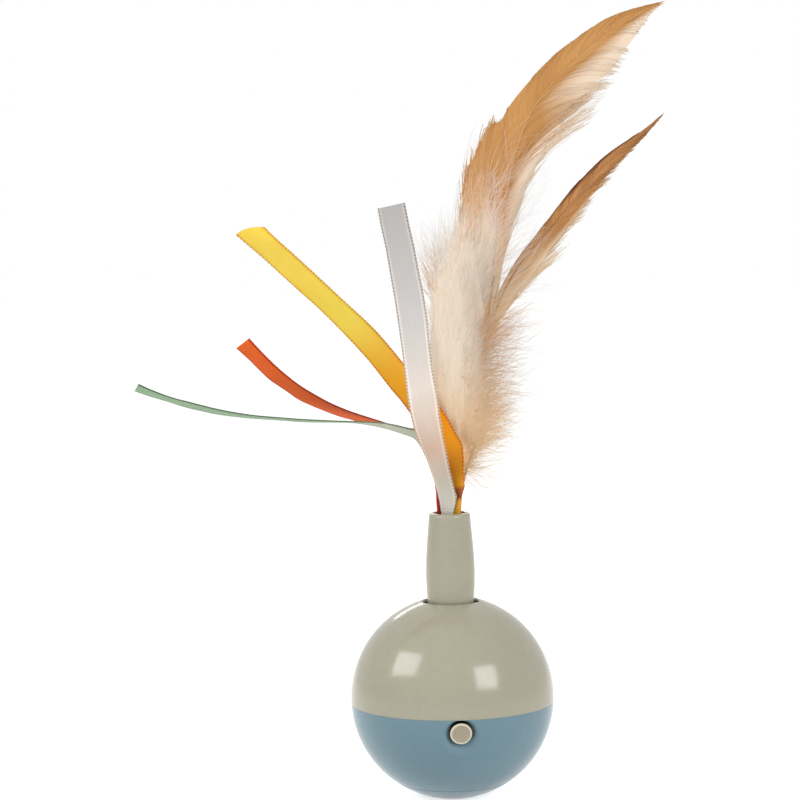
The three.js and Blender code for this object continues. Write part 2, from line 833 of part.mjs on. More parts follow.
function motorHolder() {
  const inside = motorRadius + fitGap;
  const outside = inside + holderWall;
  let body = solidOf(ring(inside, outside, holderBottomZ, plateBottomZ + plateThickness / 2, neckSides));
  body = body.add(plateDisc(plateBottomZ, plateTopZ));
  for (const [x, y] of holderFeet) {
    const top = holderFootZ + holderFootThickness;
    const foot = solidOf(cylinder(bossRadius, holderFootZ, top).translate(x, y, 0));
    const reach = Math.hypot(x, y);
    const middle = (inside + holderWall / 2 + reach) / 2;
    const long = (reach - inside - holderWall / 2) / 2;
    const arm = block(middle - long, middle + long, -bossRadius, bossRadius, holderFootZ, top);
    body = body.add(foot).add(solidOf(arm.rotateZ(Math.atan2(y, x))));
    const hole = cylinder(screwRadius + fitGap, holderFootZ - cutOver, top + cutOver, screwSides);
    body = body.subtract(solidOf(hole.translate(x, y, 0)));
  }
  for (const [x, y] of pillars) {
    const top = coverBottomZ - fitGap;
    const post = cylinder(pillarRadius, plateBottomZ, top);
    const hole = cylinder(
      screwRadius + fitGap,
      coverTopZ - coverScrewLength - runGap,
      top + cutOver,
      screwSides,
    );
    body = body.add(solidOf(post.translate(x, y, 0)));
    body = body.subtract(solidOf(hole.translate(x, y, 0)));
  }
  const shaftHole = cylinder(
    motorShaftRadius + 2 * runGap,
    plateBottomZ - cutOver,
    plateTopZ + cutOver,
    screwSides,
  );
  const pinHole = cylinder(
    idlerPinRadius + fitGap,
    plateTopZ - pinSocketDepth,
    plateTopZ + cutOver,
    screwSides,
  );
  body = body.subtract(solidOf(shaftHole));
  return body.subtract(solidOf(pinHole.translate(0, gearDistance, 0)));
}

add('motor_holder', motorHolder(), nylon());
holderFeet.forEach(([x, y], i) => {
  const seat = holderFootZ + holderFootThickness + fitGap;
  add(`holder_screw_${i + 1}`, screw(holderScrewLength), steel()).position.set(x, y, seat);
});

// Idler gear on its pin
function idlerGear() {
  const bore = idlerPinRadius + runGap;
  const wheel = gear(idlerTeeth, idlerBottomZ, idlerMiddleZ, bore);
  const small = gear(idlerSmallTeeth, idlerMiddleZ - idlerThickness / 2, outputTopZ + runGap, bore);
  return solidOf(wheel).add(solidOf(small));
}

add('idler_gear', idlerGear(), nylon()).position.y = gearDistance;
add(
  'idler_pin',
  cylinder(idlerPinRadius, idlerPinBottom, idlerPinTop, screwSides).translate(0, gearDistance, 0),
  steel(),
);

// Gearbox cover with the neck's bearing tube
function gearboxCover() {
  let cover = plateDisc(coverBottomZ, coverTopZ);
  const tube = cylinder(washerRadius, coverBottomZ, bearingTopZ, partSides);
  const bore = cylinder(bearingBore, coverBottomZ - cutOver, bearingTopZ + cutOver, partSides);
  cover = cover.add(solidOf(tube)).subtract(solidOf(bore));
  const pinHole = cylinder(
    idlerPinRadius + fitGap,
    coverBottomZ - cutOver,
    idlerPinTop + fitGap,
    screwSides,
  );
  cover = cover.subtract(solidOf(pinHole.translate(0, gearDistance, 0)));
  for (const [x, y] of pillars) {
    const hole = cylinder(screwRadius + fitGap, coverBottomZ - cutOver, coverTopZ + cutOver, screwSides);
    cover = cover.subtract(solidOf(hole.translate(x, y, 0)));
  }
  return cover;
}

add('gearbox_cover', gearboxCover(), nylon());
pillars.forEach(([x, y], i) => {
  const seat = coverTopZ + fitGap;
  add(`cover_screw_${i + 1}`, screw(coverScrewLength), steel()).position.set(x, y, seat);
});
add(
  'thrust_washer',
  ring(bearingBore, washerRadius, washerBottomZ, washerBottomZ + washerThickness, partSides),
  metal(0xc9a45c, 0.3),
);

// Output gear: its hub runs in the bearing and stands in the neck's socket
function outputGear() {
  const wheel = solidOf(gear(outputTeeth, outputBottomZ, outputTopZ, 0));
  const hub = solidOf(cylinder(hubRadius, outputTopZ - outputThickness / 2, hubTopZ, partSides));
  const pilot = cylinder(
    screwRadius + fitGap,
    boreFloorZ + fitGap - neckScrewLength - runGap,
    hubTopZ + cutOver,
    screwSides,
  );
  return wheel.add(hub).subtract(solidOf(pilot));
}

add('output_gear', outputGear(), nylon(), turret);

// Neck: barrel-shaped outside, bore above, socket for the hub below
const neckShares = [
  [0.145, 0.3],
  [0.276, 0.64],
  [0.407, 0.87],
  [0.505, 1],
  [0.67, 0.82],
  [0.762, 0.68],
]; // share of the way down the neck, share of the swell from the top radius to the widest

function neckOutline() {
  const length = neckTopZ - neckBottomZ;
  const swell = neckWidestRadius - neckTopRadius;
  return neckShares.map(([downShare, swellShare]) => [
    neckTopRadius + swell * swellShare,
    neckTopZ - length * downShare,
  ]);
}

function neck() {
  const outside = neckOutline().reverse();
  const socket = hubRadius + fitGap;
  const profile = [
    [socket, neckBottomZ],
    [neckBaseRadius, neckBottomZ],
    ...outside,
    [neckTopRadius, neckTopZ - neckRimRound],
    [neckTopRadius - neckRimRound * roundShare, neckTopZ - neckRimRound * roundShare],
    [neckTopRadius - neckRimRound, neckTopZ],
    [boreRadius, neckTopZ],
    [boreRadius, boreFloorZ],
    [screwRadius + fitGap, boreFloorZ],
    [screwRadius + fitGap, hubTopZ + fitGap],
    [socket, hubTopZ + fitGap],
  ];
  return turned(profile, neckSides);
}

add('neck', neck(), greyGreen(), turret);
add('neck_screw', screw(neckScrewLength), steel(), turret).position.z = boreFloorZ + fitGap;

// Where each root stands in the bore, as shares of the bore's radius, with its half width and turn
const rootShares = {
  white: { at: [-0.1, -0.5], turn: 66 },
  yellow: { at: [0.45, -0.17], turn: 77 },
  orange: { at: [-0.62, -0.13], turn: 78 },
  green: { at: [-0.13, 0.2], turn: 75 },
  plume: { at: [0.17, 0.55], turn: 0 },
  tan: { at: [0.42, 0.45], turn: 0 },
  brown: { at: [0.66, 0.28], turn: 0 },
};

const quillThickness = 0.7;
const rootWidthShare = 0.38; // how far a ribbon is gathered in the bore
const rootHalf = (ribbonWidth * rootWidthShare) / 2;

function rootPlace(name, z) {
  const [xShare, yShare] = rootShares[name].at;
  return new THREE.Vector3(boreRadius * xShare, boreRadius * yShare, z);
}

const ribbonNames = ['white', 'yellow', 'orange', 'green'];

// The part of a root that stands in the plug's pocket, as a block grown by a margin
function rootBlock(name, margin) {
  const isRibbon = ribbonNames.includes(name);
  const half = (isRibbon ? rootHalf : quillThickness / 2) + margin;
  const thin = (isRibbon ? ribbonThickness : quillThickness) / 2 + margin;
  const place = rootPlace(name, 0);
  const box = block(-half, half, -thin, thin, rootZ - margin, plugTopZ + cutOver);
  return box.rotateZ(-degrees(rootShares[name].turn)).translate(place.x, place.y, 0);
}

function rootPlug() {
  let plug = solidOf(cylinder(boreRadius - fitGap, plugBottomZ, plugTopZ, partSides));
  for (const name of Object.keys(rootShares)) {
    plug = plug.subtract(solidOf(rootBlock(name, pocketGrow)));
  }
  return plug;
}

add('root_plug', rootPlug(), plastic(0xd8d2c4, 0.6), turret);

// Ribbons. Each starts upright in the plug and leaves the neck's mouth at its root. Rows give the
// route above the mouth: shares of the reach along x, the depth along y and the rise, then the share
// of the full width and the turn in degrees.
const ribbons = {
  white: { reach: -17.1, depth: -12.4, rise: 102.7, color: 0xf2efec },
  yellow: { reach: -66.5, depth: -3.9, rise: 94.9, color: 0xf5b82a },
  orange: { reach: -64.5, depth: 10.5, rise: 57.5, color: 0xe8602a },
  green: { reach: -102.3, depth: -3.4, rise: 43.7, color: 0xa4c49e },
};
const ribbonRouteShares = {
  white: [
    [0.02, 0.13, 0.055, 0.6, 60],
    [0.09, 0.26, 0.113, 0.8, 53],
    [0.2, 0.4, 0.18, 0.96, 45],
    [0.366, 0.56, 0.279, 1, 29],
    [0.453, 0.69, 0.377, 1, 17],
    [0.566, 0.84, 0.539, 1, 20],
    [0.683, 0.92, 0.7, 1, 19],
    [0.835, 0.98, 0.859, 1, 21],
    [1, 1, 1, 1, 24],
  ],
  yellow: [
    [-0.016, -0.28, 0.055, 0.45, 80],
    [-0.011, -0.54, 0.107, 0.7, 68],
    [0.01, -0.79, 0.184, 0.92, 48],
    [0.046, -0.95, 0.268, 1, 40],
    [0.109, -1, 0.353, 1, 36],
    [0.192, -0.95, 0.439, 1, 30],
    [0.285, -0.85, 0.518, 1, 30],
    [0.412, -0.69, 0.611, 1, 34],
    [0.564, -0.49, 0.715, 1, 37],
    [0.72, -0.23, 0.819, 1, 38],
    [0.861, 0.03, 0.911, 1, 33],
    [1, 0.28, 1, 1, 20],
  ],
  orange: [
    [0.005, 0.15, 0.06, 0.42, 82],
    [0.012, 0.5, 0.141, 0.6, 84],
    [0.04, 0.86, 0.275, 0.8, 84],
    [0.115, 0.96, 0.425, 0.95, 83],
    [0.197, 1, 0.467, 1, 84],
    [0.28, 0.97, 0.505, 1, 85],
    [0.362, 0.9, 0.53, 1, 82],
    [0.481, 0.81, 0.571, 1, 74],
    [0.599, 0.71, 0.63, 1, 70],
    [0.726, 0.6, 0.722, 1, 67],
    [0.852, 0.49, 0.84, 1, 63],
    [0.938, 0.41, 0.927, 1, 62],
    [1, 0.35, 1, 1, 58],
  ],
  green: [
    [0.003, 0.15, 0.088, 0.42, 75],
    [0.013, 0.31, 0.205, 0.6, 72],
    [0.038, 0.5, 0.376, 0.8, 72],
    [0.073, 0.65, 0.516, 1, 74],
    [0.118, 0.77, 0.614, 1, 78],
    [0.173, 0.88, 0.659, 1, 82],
    [0.244, 0.88, 0.691, 1, 86],
    [0.325, 0.88, 0.709, 1, 88],
    [0.406, 0.88, 0.719, 1, 88],
    [0.504, 0.88, 0.736, 1, 87],
    [0.601, 0.88, 0.756, 1, 85],
    [0.698, 0.88, 0.786, 1, 83],
    [0.795, 0.88, 0.837, 1, 81],
    [0.892, 0.88, 0.902, 1, 80],
    [0.957, 0.88, 0.958, 1, 77],
    [1, 0.88, 1, 1, 75],
  ],
};

function ribbonStations(name) {
  const { reach, depth, rise } = ribbons[name];
  const { turn } = rootShares[name];
  const half = ribbonWidth / 2;
  const rooted = [rootZ, plugTopZ, neckTopZ - neckRimRound].map((z) => ({
    at: rootPlace(name, z),
    left: rootHalf,
    right: rootHalf,
    thick: ribbonThickness,
    turn,
  }));
  const mouth = rootPlace(name, neckTopZ);
  const free = ribbonRouteShares[name].map((row) => {
    const [xShare, yShare, zShare, widthShare, turnDegrees] = row;
    return {
      at: new THREE.Vector3(reach * xShare, depth * yShare, rise * zShare).add(mouth),
      left: half * widthShare,
      right: half * widthShare,
      thick: ribbonThickness,
      turn: turnDegrees,
    };
  });
  return [...rooted, ...free];
}

for (const name of ribbonNames) {
  const stations = ribbonStations(name);
  const shape = strand(stations, 2 * (stations.length - 1));
  add(`${name}_ribbon`, shape, satin(ribbons[name].color), turret);
}

// Feathers and down. Rows: shares of the reach, depth and rise above the mouth, then the widths to the
// left and right of the shaft and the thickness, as shares of the feather's breadth.
const feathers = {
  tan: { reach: 71, depth: 8, rise: 168, breadth: 24, color: 0xc9975b },
  brown: { reach: 70.2, depth: 13, rise: 131.5, breadth: 14, color: 0xa86b3e },
  plume: { reach: 13.4, depth: 2.4, rise: 99, breadth: 26, color: 0xe4d4c0 },
};
const featherRouteShares = {
  tan: [
    [0.02, 0.5, 0.045, 0.018, 0.018, 0.03],
    [0.053, 0.7, 0.097, 0.018, 0.018, 0.03],
    [0.1, 0.85, 0.199, 0.018, 0.018, 0.03],
    [0.147, 1, 0.318, 0.018, 0.018, 0.03],
    [0.189, 1, 0.437, 0.018, 0.018, 0.03],
    [0.22, 1, 0.536, 0.36, 0.1, 0.04],
    [0.256, 1, 0.625, 0.48, 0.24, 0.04],
    [0.31, 1, 0.713, 0.48, 0.34, 0.04],
    [0.383, 1, 0.787, 0.42, 0.5, 0.04],
    [0.478, 1, 0.842, 0.34, 0.55, 0.04],
    [0.596, 1, 0.89, 0.26, 0.45, 0.04],
    [0.733, 1, 0.936, 0.22, 0.3, 0.04],
    [0.873, 1, 0.972, 0.16, 0.16, 0.04],
    [1, 1, 1, 0.03, 0.03, 0.03],
  ],
  brown: [
    [0.03, 0.3, 0.056, 0.05, 0.05, 0.08],
    [0.063, 0.55, 0.142, 0.05, 0.05, 0.08],
    [0.096, 0.8, 0.255, 0.05, 0.05, 0.08],
    [0.119, 0.91, 0.356, 0.05, 0.05, 0.08],
    [0.155, 0.98, 0.458, 0.1, 0.1, 0.1],
    [0.215, 1, 0.534, 0.2, 0.22, 0.12],
    [0.288, 1, 0.604, 0.28, 0.34, 0.12],
    [0.381, 1, 0.667, 0.3, 0.42, 0.12],
    [0.487, 1, 0.735, 0.36, 0.46, 0.12],
    [0.613, 1, 0.807, 0.3, 0.4, 0.12],
    [0.748, 1, 0.885, 0.2, 0.26, 0.12],
    [0.878, 1, 0.944, 0.12, 0.14, 0.1],
    [1, 1, 1, 0.04, 0.04, 0.08],
  ],
  plume: [
    [0.12, 0.95, 0.078, 0.02, 0.02, 0.03],
    [0.32, 1.1, 0.16, 0.1, 0.14, 0.06],
    [0.47, 1.1, 0.25, 0.24, 0.36, 0.1],
    [0.59, 1, 0.38, 0.42, 0.46, 0.16],
    [0.63, 1, 0.52, 0.5, 0.5, 0.2],
    [0.62, 1, 0.65, 0.46, 0.52, 0.2],
    [0.64, 1, 0.78, 0.4, 0.46, 0.18],
    [0.8, 1, 0.9, 0.34, 0.36, 0.14],
    [1, 1, 1, 0.22, 0.24, 0.1],
  ],
};

function featherStations(name) {
  const { reach, depth, rise, breadth } = feathers[name];
  const rooted = [rootZ, plugTopZ, neckTopZ - neckRimRound].map((z) => ({
    at: rootPlace(name, z),
    left: quillThickness / 2,
    right: quillThickness / 2,
    thick: quillThickness,
    turn: 0,
  }));
  const mouth = rootPlace(name, neckTopZ);
  const free = featherRouteShares[name].map((row) => {
    const [xShare, yShare, zShare, leftShare, rightShare, thickShare] = row;
    return {
      at: new THREE.Vector3(reach * xShare, depth * yShare, rise * zShare).add(mouth),
      left: breadth * leftShare,
      right: breadth * rightShare,
      thick: breadth * thickShare,
      turn: 0,
    };
  });
  return [...rooted, ...free];
}

const featherNodes = { tan: 'tan_feather', brown: 'brown_feather', plume: 'down_plume' };
for (const [name, node] of Object.entries(featherNodes)) {
  const stations = featherStations(name);
  const shape = strand(stations, 2 * (stations.length - 1));
  add(node, shape, satin(feathers[name].color), turret);
}

// Push button: cap, flange that keeps it in, and stem that reaches the switch
add(
  'power_button',
  turned(
    [
      [0, stemEnd],
      [buttonStemRadius, stemEnd],
      [buttonStemRadius, flangeBottom],
      [buttonFlangeRadius, flangeBottom],
      [buttonFlangeRadius, flangeTop],
      [buttonRadius, flangeTop],
      [buttonRadius, ballRadius - buttonRound],
      [buttonRadius - buttonRound * roundShare, ballRadius - buttonRound * roundShare],
      [buttonRadius - buttonRound, ballRadius],
      [0, ballRadius],
    ],
    partSides,
  ),
  greyGreen(),
  buttonGroup,
);

const plungerHalf = plungerWidth / 2;
add(
  'switch_plunger',
  block(-plungerHalf, plungerHalf, -plungerHalf, plungerHalf, plungerBottom, plungerTop),
  plastic(0xf0f0f0, 0.4),
  buttonGroup,
);

function switchBody() {
  const half = switchSide / 2;
  const pocket = plungerHalf + runGap;
  const floor = plungerBottom - buttonTravel - runGap;
  const body = solidOf(block(-half, half, -half, half, switchBottom, switchTop));
  return body.subtract(solidOf(block(-pocket, pocket, -pocket, pocket, floor, switchTop + cutOver)));
}

add('switch_body', switchBody(), plastic(0x2f3033, 0.5), buttonGroup);
add('circuit_board', boardBlock(0), plastic(0x2f6b45, 0.5), buttonGroup);

// Screws that join the shells, from underneath
shellBosses.forEach(([x, y], i) => {
  const shellScrew = add(`shell_screw_${i + 1}`, screw(shellScrewLength), steel());
  shellScrew.rotation.x = Math.PI;
  shellScrew.position.set(x, y, shellSeatZ - fitGap);
});

// Wires, along points chosen by hand
const leads = {
  battery_lead_red: {
    color: 0xc0392b,
    points: [
      [10.6, 0, 19.5],
      [11.2, 0, 22],
      [11.3, -1.2, 26],
      [9.7, -4.4, 28.3],
      [7.1, -7.7, 29.3],
      [5, -10.7, 29.3],
      [4.4, -13.7, 28.8],
    ],
  },
  motor_lead_red: {
    color: 0xb03a2e,
    points: [
      [-3.5, -13.7, 26],
      [-4.4, -11.6, 25.2],
      [-5.5, -10, 22.5],
      [-5.5, -9.6, 20],
      [-4.4, -8.2, 17.9],
      [0, -5.2, 17.8],
      [4.4, -2.8, 17.8],
      [5, -1.2, 17.8],
    ],
  },
  battery_lead_black: {
    color: 0x26262a,
    points: [
      [-10.1, 0, 17.9],
      [-9, 0.5, 17.8],
      [-7, 0.5, 17.8],
      [-5.8, 0, 17.8],
    ],
  },
};
for (const [name, { color, points }] of Object.entries(leads)) {
  add(name, wire(points, leadRadius, 3 * (points.length - 1)), plastic(color, 0.5));
}

export default toy;
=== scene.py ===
"""Cat wand toy: a weighted ball with a push button, and a turning neck of ribbons and feathers."""

import math

import bmesh
import bpy
import numpy as np
from mathutils import Matrix, Quaternion, Vector


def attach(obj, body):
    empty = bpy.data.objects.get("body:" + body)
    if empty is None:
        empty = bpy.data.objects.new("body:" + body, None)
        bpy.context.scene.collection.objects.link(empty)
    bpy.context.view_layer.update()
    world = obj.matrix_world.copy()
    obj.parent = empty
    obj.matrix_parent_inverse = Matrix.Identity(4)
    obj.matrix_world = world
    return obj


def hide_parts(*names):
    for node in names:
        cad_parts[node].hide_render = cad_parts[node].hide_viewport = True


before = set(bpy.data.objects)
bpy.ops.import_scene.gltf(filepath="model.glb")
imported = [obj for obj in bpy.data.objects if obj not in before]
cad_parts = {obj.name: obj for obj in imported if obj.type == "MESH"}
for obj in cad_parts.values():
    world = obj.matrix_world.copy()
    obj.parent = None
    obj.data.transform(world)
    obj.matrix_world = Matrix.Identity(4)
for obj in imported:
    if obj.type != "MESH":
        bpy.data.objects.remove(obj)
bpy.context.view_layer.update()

MM = 0.001
TURN = 2 * math.pi

# Sizes of the hard pieces, in millimetres and degrees, as in the part's source
BALL_RADIUS = 34.0
BALL_Z = 33.2716
WALL_RADIUS = 32.0
FIT = 0.2
SEAM_Z = 31.8716
SEAM_GAP = 0.02
LAP_Z = 33.67
LAP_RADIUS = 32.9
OPENING_RADIUS = 9.3
OPENING_LIP = 0.5
DOOR_RADIUS = 19.2
DOOR_HOLE_RADIUS = 19.4
DOOR_TOP_Z = 6.91
DOOR_FLOOR = 2.0
DOOR_RIM_RADIUS = 17.2
DOOR_SCREW_Y = 15.4
DOOR_SEAT_Z = 5.6
STAND_RADIUS = 7.0
LEDGE_Z = 7.11
BAY_RADIUS = 17.4
BAY_WALL_RADIUS = 19.1
BAY_CEILING_Z = 15.349
BAY_TOP_Z = 16.949
SHELF_RADIUS = 21.1
WELL_RADIUS = 2.2
WELL_BOSS_RADIUS = 3.4
BOSS_RADIUS = 2.8
BOSS_END_RADIUS = 32.6
SCREW_HOLE_RADIUS = 1.1
DOOR_HOLE_TOP_Z = 10.5
SHELL_HOLE_TOP_Z = 38.0
SHELL_SEAT_Z = 19.27
SHELL_SPLIT_Z = 29.77
SHELL_BOSSES = ((12.75, 22.084), (-12.75, 22.084))
HOLDER_FEET = ((0.0, 14.0), (-12.124, -7.0), (12.124, -7.0))
HOLDER_BOSS_TOP_Z = 22.949
HOLDER_HOLE_Z = 18.5
BUTTON_TURN = 3.7
BUTTON_DROP = 10.2
BUTTON_HOLE_RADIUS = 4.15
STEM_RADIUS = 1.6
STEM_END = 27.49
FLANGE_RADIUS = 5.1
FLANGE_LOW = 30.29
FLANGE_TOP = 31.29
CAP_RADIUS = 3.6
CAP_RIM_RADIUS = 2.95
CAP_FACE_RADIUS = 2.75
CAP_FACE_EDGE = 0.22
CAP_FACE_SINK = 0.3
DISH_DROP = 12.8
DISH_RADIUS = 6.6
DISH_DEPTH = 1.8
DISH_LIP = 0.04
DISH_RIDGE = 0.08
DISH_RIDGE_WIDTH = 0.5
DISH_INSIDE_SHARE = 0.22
NECK_BOTTOM_Z = 57.449
NECK_TOP_Z = 95.5
NECK_RIM_RADIUS = 6.85
BORE_RADIUS = 5.2
BORE_FLOOR_Z = 70.0
HUB_SOCKET_RADIUS = 3.4
HUB_SOCKET_TOP_Z = 66.5
RIBBON_WIDTH = 10.0
RIBBON_THICKNESS = 0.34

# Sizes of the feathers' sheets, in millimetres
BARB_THICKNESS = 0.08
WEB_THICKNESS = 0.12

# Weave of the ribbons, in millimetres. Its threads and stitches are drawn coarser than the real ones, which
# are too fine to show. The selvage and the stitch row are measured from the ribbon's middle line, and the
# reach is what the stitches cover to each side of their row
STREAKS_PER_MM = (3.0, 0.09, 1.0)
WEFT_PITCH = 0.45
PICOT_PITCH = 1.15
SELVAGE_START = 3.7
SELVAGE_FULL = 3.9
STITCH_ROW = 4.75
STITCH_REACH = 0.3

# Heights over which the colours of the feathers and the down change from the quill end up
FEATHER_RISE = 125.0
PLUME_FOOT = 106.0
PLUME_RISE = 115.0

MIDDLE = np.array([0.0, 0.0, BALL_Z])


# Camera: the photograph's angle, one metre from the point it looks at
VIEW_TARGET = Vector((-0.01581, 0.0, 0.13338))
VIEW_DISTANCE = 1.0
VIEW_ELEVATION = math.radians(5.2)
VIEW_ROLL = math.radians(-1.0)
VIEW_LENS = 135.54

view_back = Vector((0.0, -math.cos(VIEW_ELEVATION), math.sin(VIEW_ELEVATION)))
camera = bpy.data.objects.new("camera", bpy.data.cameras.new("camera"))
bpy.context.scene.collection.objects.link(camera)
camera.data.lens = VIEW_LENS
camera.data.sensor_width = 36.0
camera.data.clip_start = 0.05
camera.data.clip_end = 20.0
camera.rotation_mode = "QUATERNION"
camera.location = VIEW_TARGET + view_back * VIEW_DISTANCE
camera.rotation_quaternion = view_back.to_track_quat("Z", "Y") @ Quaternion((0, 0, 1), VIEW_ROLL)
bpy.context.scene.camera = camera


# Meshes


def new_piece(name, points, faces, uvs=None, tone=None):
    """An object whose mesh has points in millimetres, and faces as arrays of corner numbers, one row a face.

    uvs and tone have one row a point and become the map "UVMap" and the attribute "tone"."""
    mesh = bpy.data.meshes.new(name)
    corners = np.concatenate([np.asarray(f).ravel() for f in faces])
    sizes = np.concatenate([np.full(len(f), np.asarray(f).shape[1]) for f in faces])
    mesh.vertices.add(len(points))
    mesh.vertices.foreach_set("co", (np.asarray(points, float) * MM).ravel())
    mesh.loops.add(len(corners))
    mesh.loops.foreach_set("vertex_index", corners)
    mesh.polygons.add(len(sizes))
    mesh.polygons.foreach_set("loop_start", np.concatenate([[0], np.cumsum(sizes)[:-1]]))
    mesh.polygons.foreach_set("use_smooth", np.ones(len(sizes), bool))
    if uvs is not None:
        layer = mesh.uv_layers.new(name="UVMap")
        layer.data.foreach_set("uv", np.asarray(uvs, float)[corners].ravel())
    if tone is not None:
        attribute = mesh.attributes.new("tone", "FLOAT", "POINT")
        attribute.data.foreach_set("value", np.asarray(tone, float))
    mesh.update(calc_edges=True)
    piece = bpy.data.objects.new(name, mesh)
    bpy.context.scene.collection.objects.link(piece)
    return piece


def grid_faces(rows, columns, round_rows=False, round_columns=False):
    """Quads of a grid: each joins (i, j), (i, j + 1), (i + 1, j + 1) and (i + 1, j), wrapped where round."""
    i = np.arange(rows if round_rows else rows - 1)[:, None]
    j = np.arange(columns if round_columns else columns - 1)[None, :]
    here = i * columns + j
    beside = i * columns + (j + 1) % columns
    above = (i + 1) % rows * columns + j
    across = (i + 1) % rows * columns + (j + 1) % columns
    return np.stack([here, beside, across, above], axis=-1).reshape(-1, 4)


def close_up(piece, sharp_degrees=32, join=True):
    """Turns all faces outwards, and keeps edges crisp where faces meet at more than that angle.

    Where join is set, first joins doubled points at poles and seams, and drops faces that have no area."""
    work = bmesh.new()
    work.from_mesh(piece.data)
    if join:
        bmesh.ops.remove_doubles(work, verts=work.verts, dist=1e-7)
        bmesh.ops.dissolve_degenerate(work, edges=work.edges, dist=1e-7)
    bmesh.ops.recalc_face_normals(work, faces=work.faces)
    work.to_mesh(piece.data)
    work.free()
    piece.data.set_sharp_from_angle(angle=math.radians(sharp_degrees))
    return piece


def even_angles(count):
    """Angles once round, evenly spaced."""
    return np.arange(count) * TURN / count


def turned(name, profile, angles=even_angles(192), closed=True):
    """A surface of revolution: (radius, height) rows become (r cos a, r sin a, h) for each angle a.

    A closed profile is a ring. An open one starts and ends on the axis."""
    radius, height = np.asarray(profile, float).T
    points = np.stack(
        [
            radius[:, None] * np.cos(angles),
            radius[:, None] * np.sin(angles),
            np.repeat(height[:, None], len(angles), axis=1),
        ],
        axis=-1,
    )
    faces = grid_faces(len(radius), len(angles), round_rows=closed, round_columns=True)
    return close_up(new_piece(name, points.reshape(-1, 3), [faces]))


def rounded(profile, rounds, steps=5):
    """Profile rows with each corner cut back by its round and joined by a quadratic curve.

    A corner p between neighbours a and b becomes (1-s)^2 (p+u t) + 2 s (1-s) p + s^2 (p+v t), with u and v
    towards a and b, and t the round."""
    profile = [np.array(p, float) for p in profile]
    out = []
    for i, p in enumerate(profile):
        size = rounds.get(i, 0.0)
        if not size:
            out.append(p)
            continue
        to_last = profile[i - 1] - p
        to_next = profile[(i + 1) % len(profile)] - p
        start = p + to_last / np.linalg.norm(to_last) * size
        end = p + to_next / np.linalg.norm(to_next) * size
        for s in np.linspace(0, 1, steps):
            out.append((1 - s) ** 2 * start + 2 * s * (1 - s) * p + s * s * end)
    return out


def arc(radius, start, end, count):
    """Rows on a circle about the ball's middle, from angle to angle off straight down."""
    angles = np.linspace(start, end, count)
    return np.stack([radius * np.sin(angles), BALL_Z - radius * np.cos(angles)], axis=-1).tolist()


def low(radius, width):
    """Angle off straight down at which a circle of that radius is width wide, under its middle."""
    return math.asin(width / radius)


def level(radius, z):
    """Angle off straight down at which a circle of that radius is at height z."""
    return math.acos((BALL_Z - z) / radius)


def disc(radius, bottom, top, place=(0.0, 0.0), sides=64):
    """A plain tool for cutting or joining: a round bar."""
    bar = turned("tool", [(0, bottom), (radius, bottom), (radius, top), (0, top)], even_angles(sides), False)
    bar.data.transform(Matrix.Translation((place[0] * MM, place[1] * MM, 0)))
    return bar


def combine(piece, tool, operation):
    """Joins a tool to a piece or cuts it out, and removes the tool."""
    change = piece.modifiers.new("change", "BOOLEAN")
    change.operation = operation
    change.solver = "MANIFOLD"
    change.object = tool
    bpy.context.view_layer.update()
    result = bpy.data.meshes.new_from_object(piece.evaluated_get(bpy.context.evaluated_depsgraph_get()))
    piece.modifiers.clear()
    piece.data = result
    bpy.data.objects.remove(tool)
    return piece


def smooth_faces(piece, sharp_degrees=32):
    """Smooth shading with crisp edges where faces meet at more than that angle."""
    piece.data.polygons.foreach_set("use_smooth", np.ones(len(piece.data.polygons), bool))
    piece.data.set_sharp_from_angle(angle=math.radians(sharp_degrees))
    return piece


def aim(drop):
    """Matrix that stands something on the button's axis: its own z points out of the ball's front."""
    turn, fall = math.radians(BUTTON_TURN), math.radians(drop)
    out = Vector((math.sin(turn) * math.cos(fall), -math.cos(turn) * math.cos(fall), -math.sin(fall)))
    side = Vector((0, 0, 1)).cross(out).normalized()
    up = out.cross(side)
    frame_turn = Matrix((side, up, out)).transposed().to_4x4()
    return Matrix.Translation((0, 0, BALL_Z * MM)) @ frame_turn


# Finishes


def linear(code):
    """The linear colour of an sRGB hex value: c/12.92 up to 0.04045, else ((c + 0.055)/1.055)^2.4."""
    values = [int(code[i : i + 2], 16) / 255 for i in (1, 3, 5)]
    return [v / 12.92 if v <= 0.04045 else ((v + 0.055) / 1.055) ** 2.4 for v in values] + [1.0]


def put(tree, kind, feeds=(), **settings):
    """Adds a node with its settings. Each feed is a value for a socket, or the socket that drives it."""
    node = tree.nodes.new("ShaderNode" + kind)
    for key, value in settings.items():
        setattr(node, key, value)
    for key, value in dict(feeds).items():
        if isinstance(value, bpy.types.NodeSocket):
            tree.links.new(value, node.inputs[key])
        else:
            node.inputs[key].default_value = value
    return node


# Places of the colour sockets on a Mix node
BLEND_A, BLEND_B, BLEND_OUT = 6, 7, 2


def finish(name, pattern, values):
    """A material on one Principled shader.

    pattern adds its nodes to the tree, and returns what drives each socket. values are the sockets that are
    the same all over."""
    material = bpy.data.materials.new(name)
    material.use_nodes = True
    tree = material.node_tree
    shader = tree.nodes["Principled BSDF"]
    for key, value in values.items():
        shader.inputs[key].default_value = value
    for key, source in pattern(tree).items():
        tree.links.new(source, shader.inputs[key])
    return material


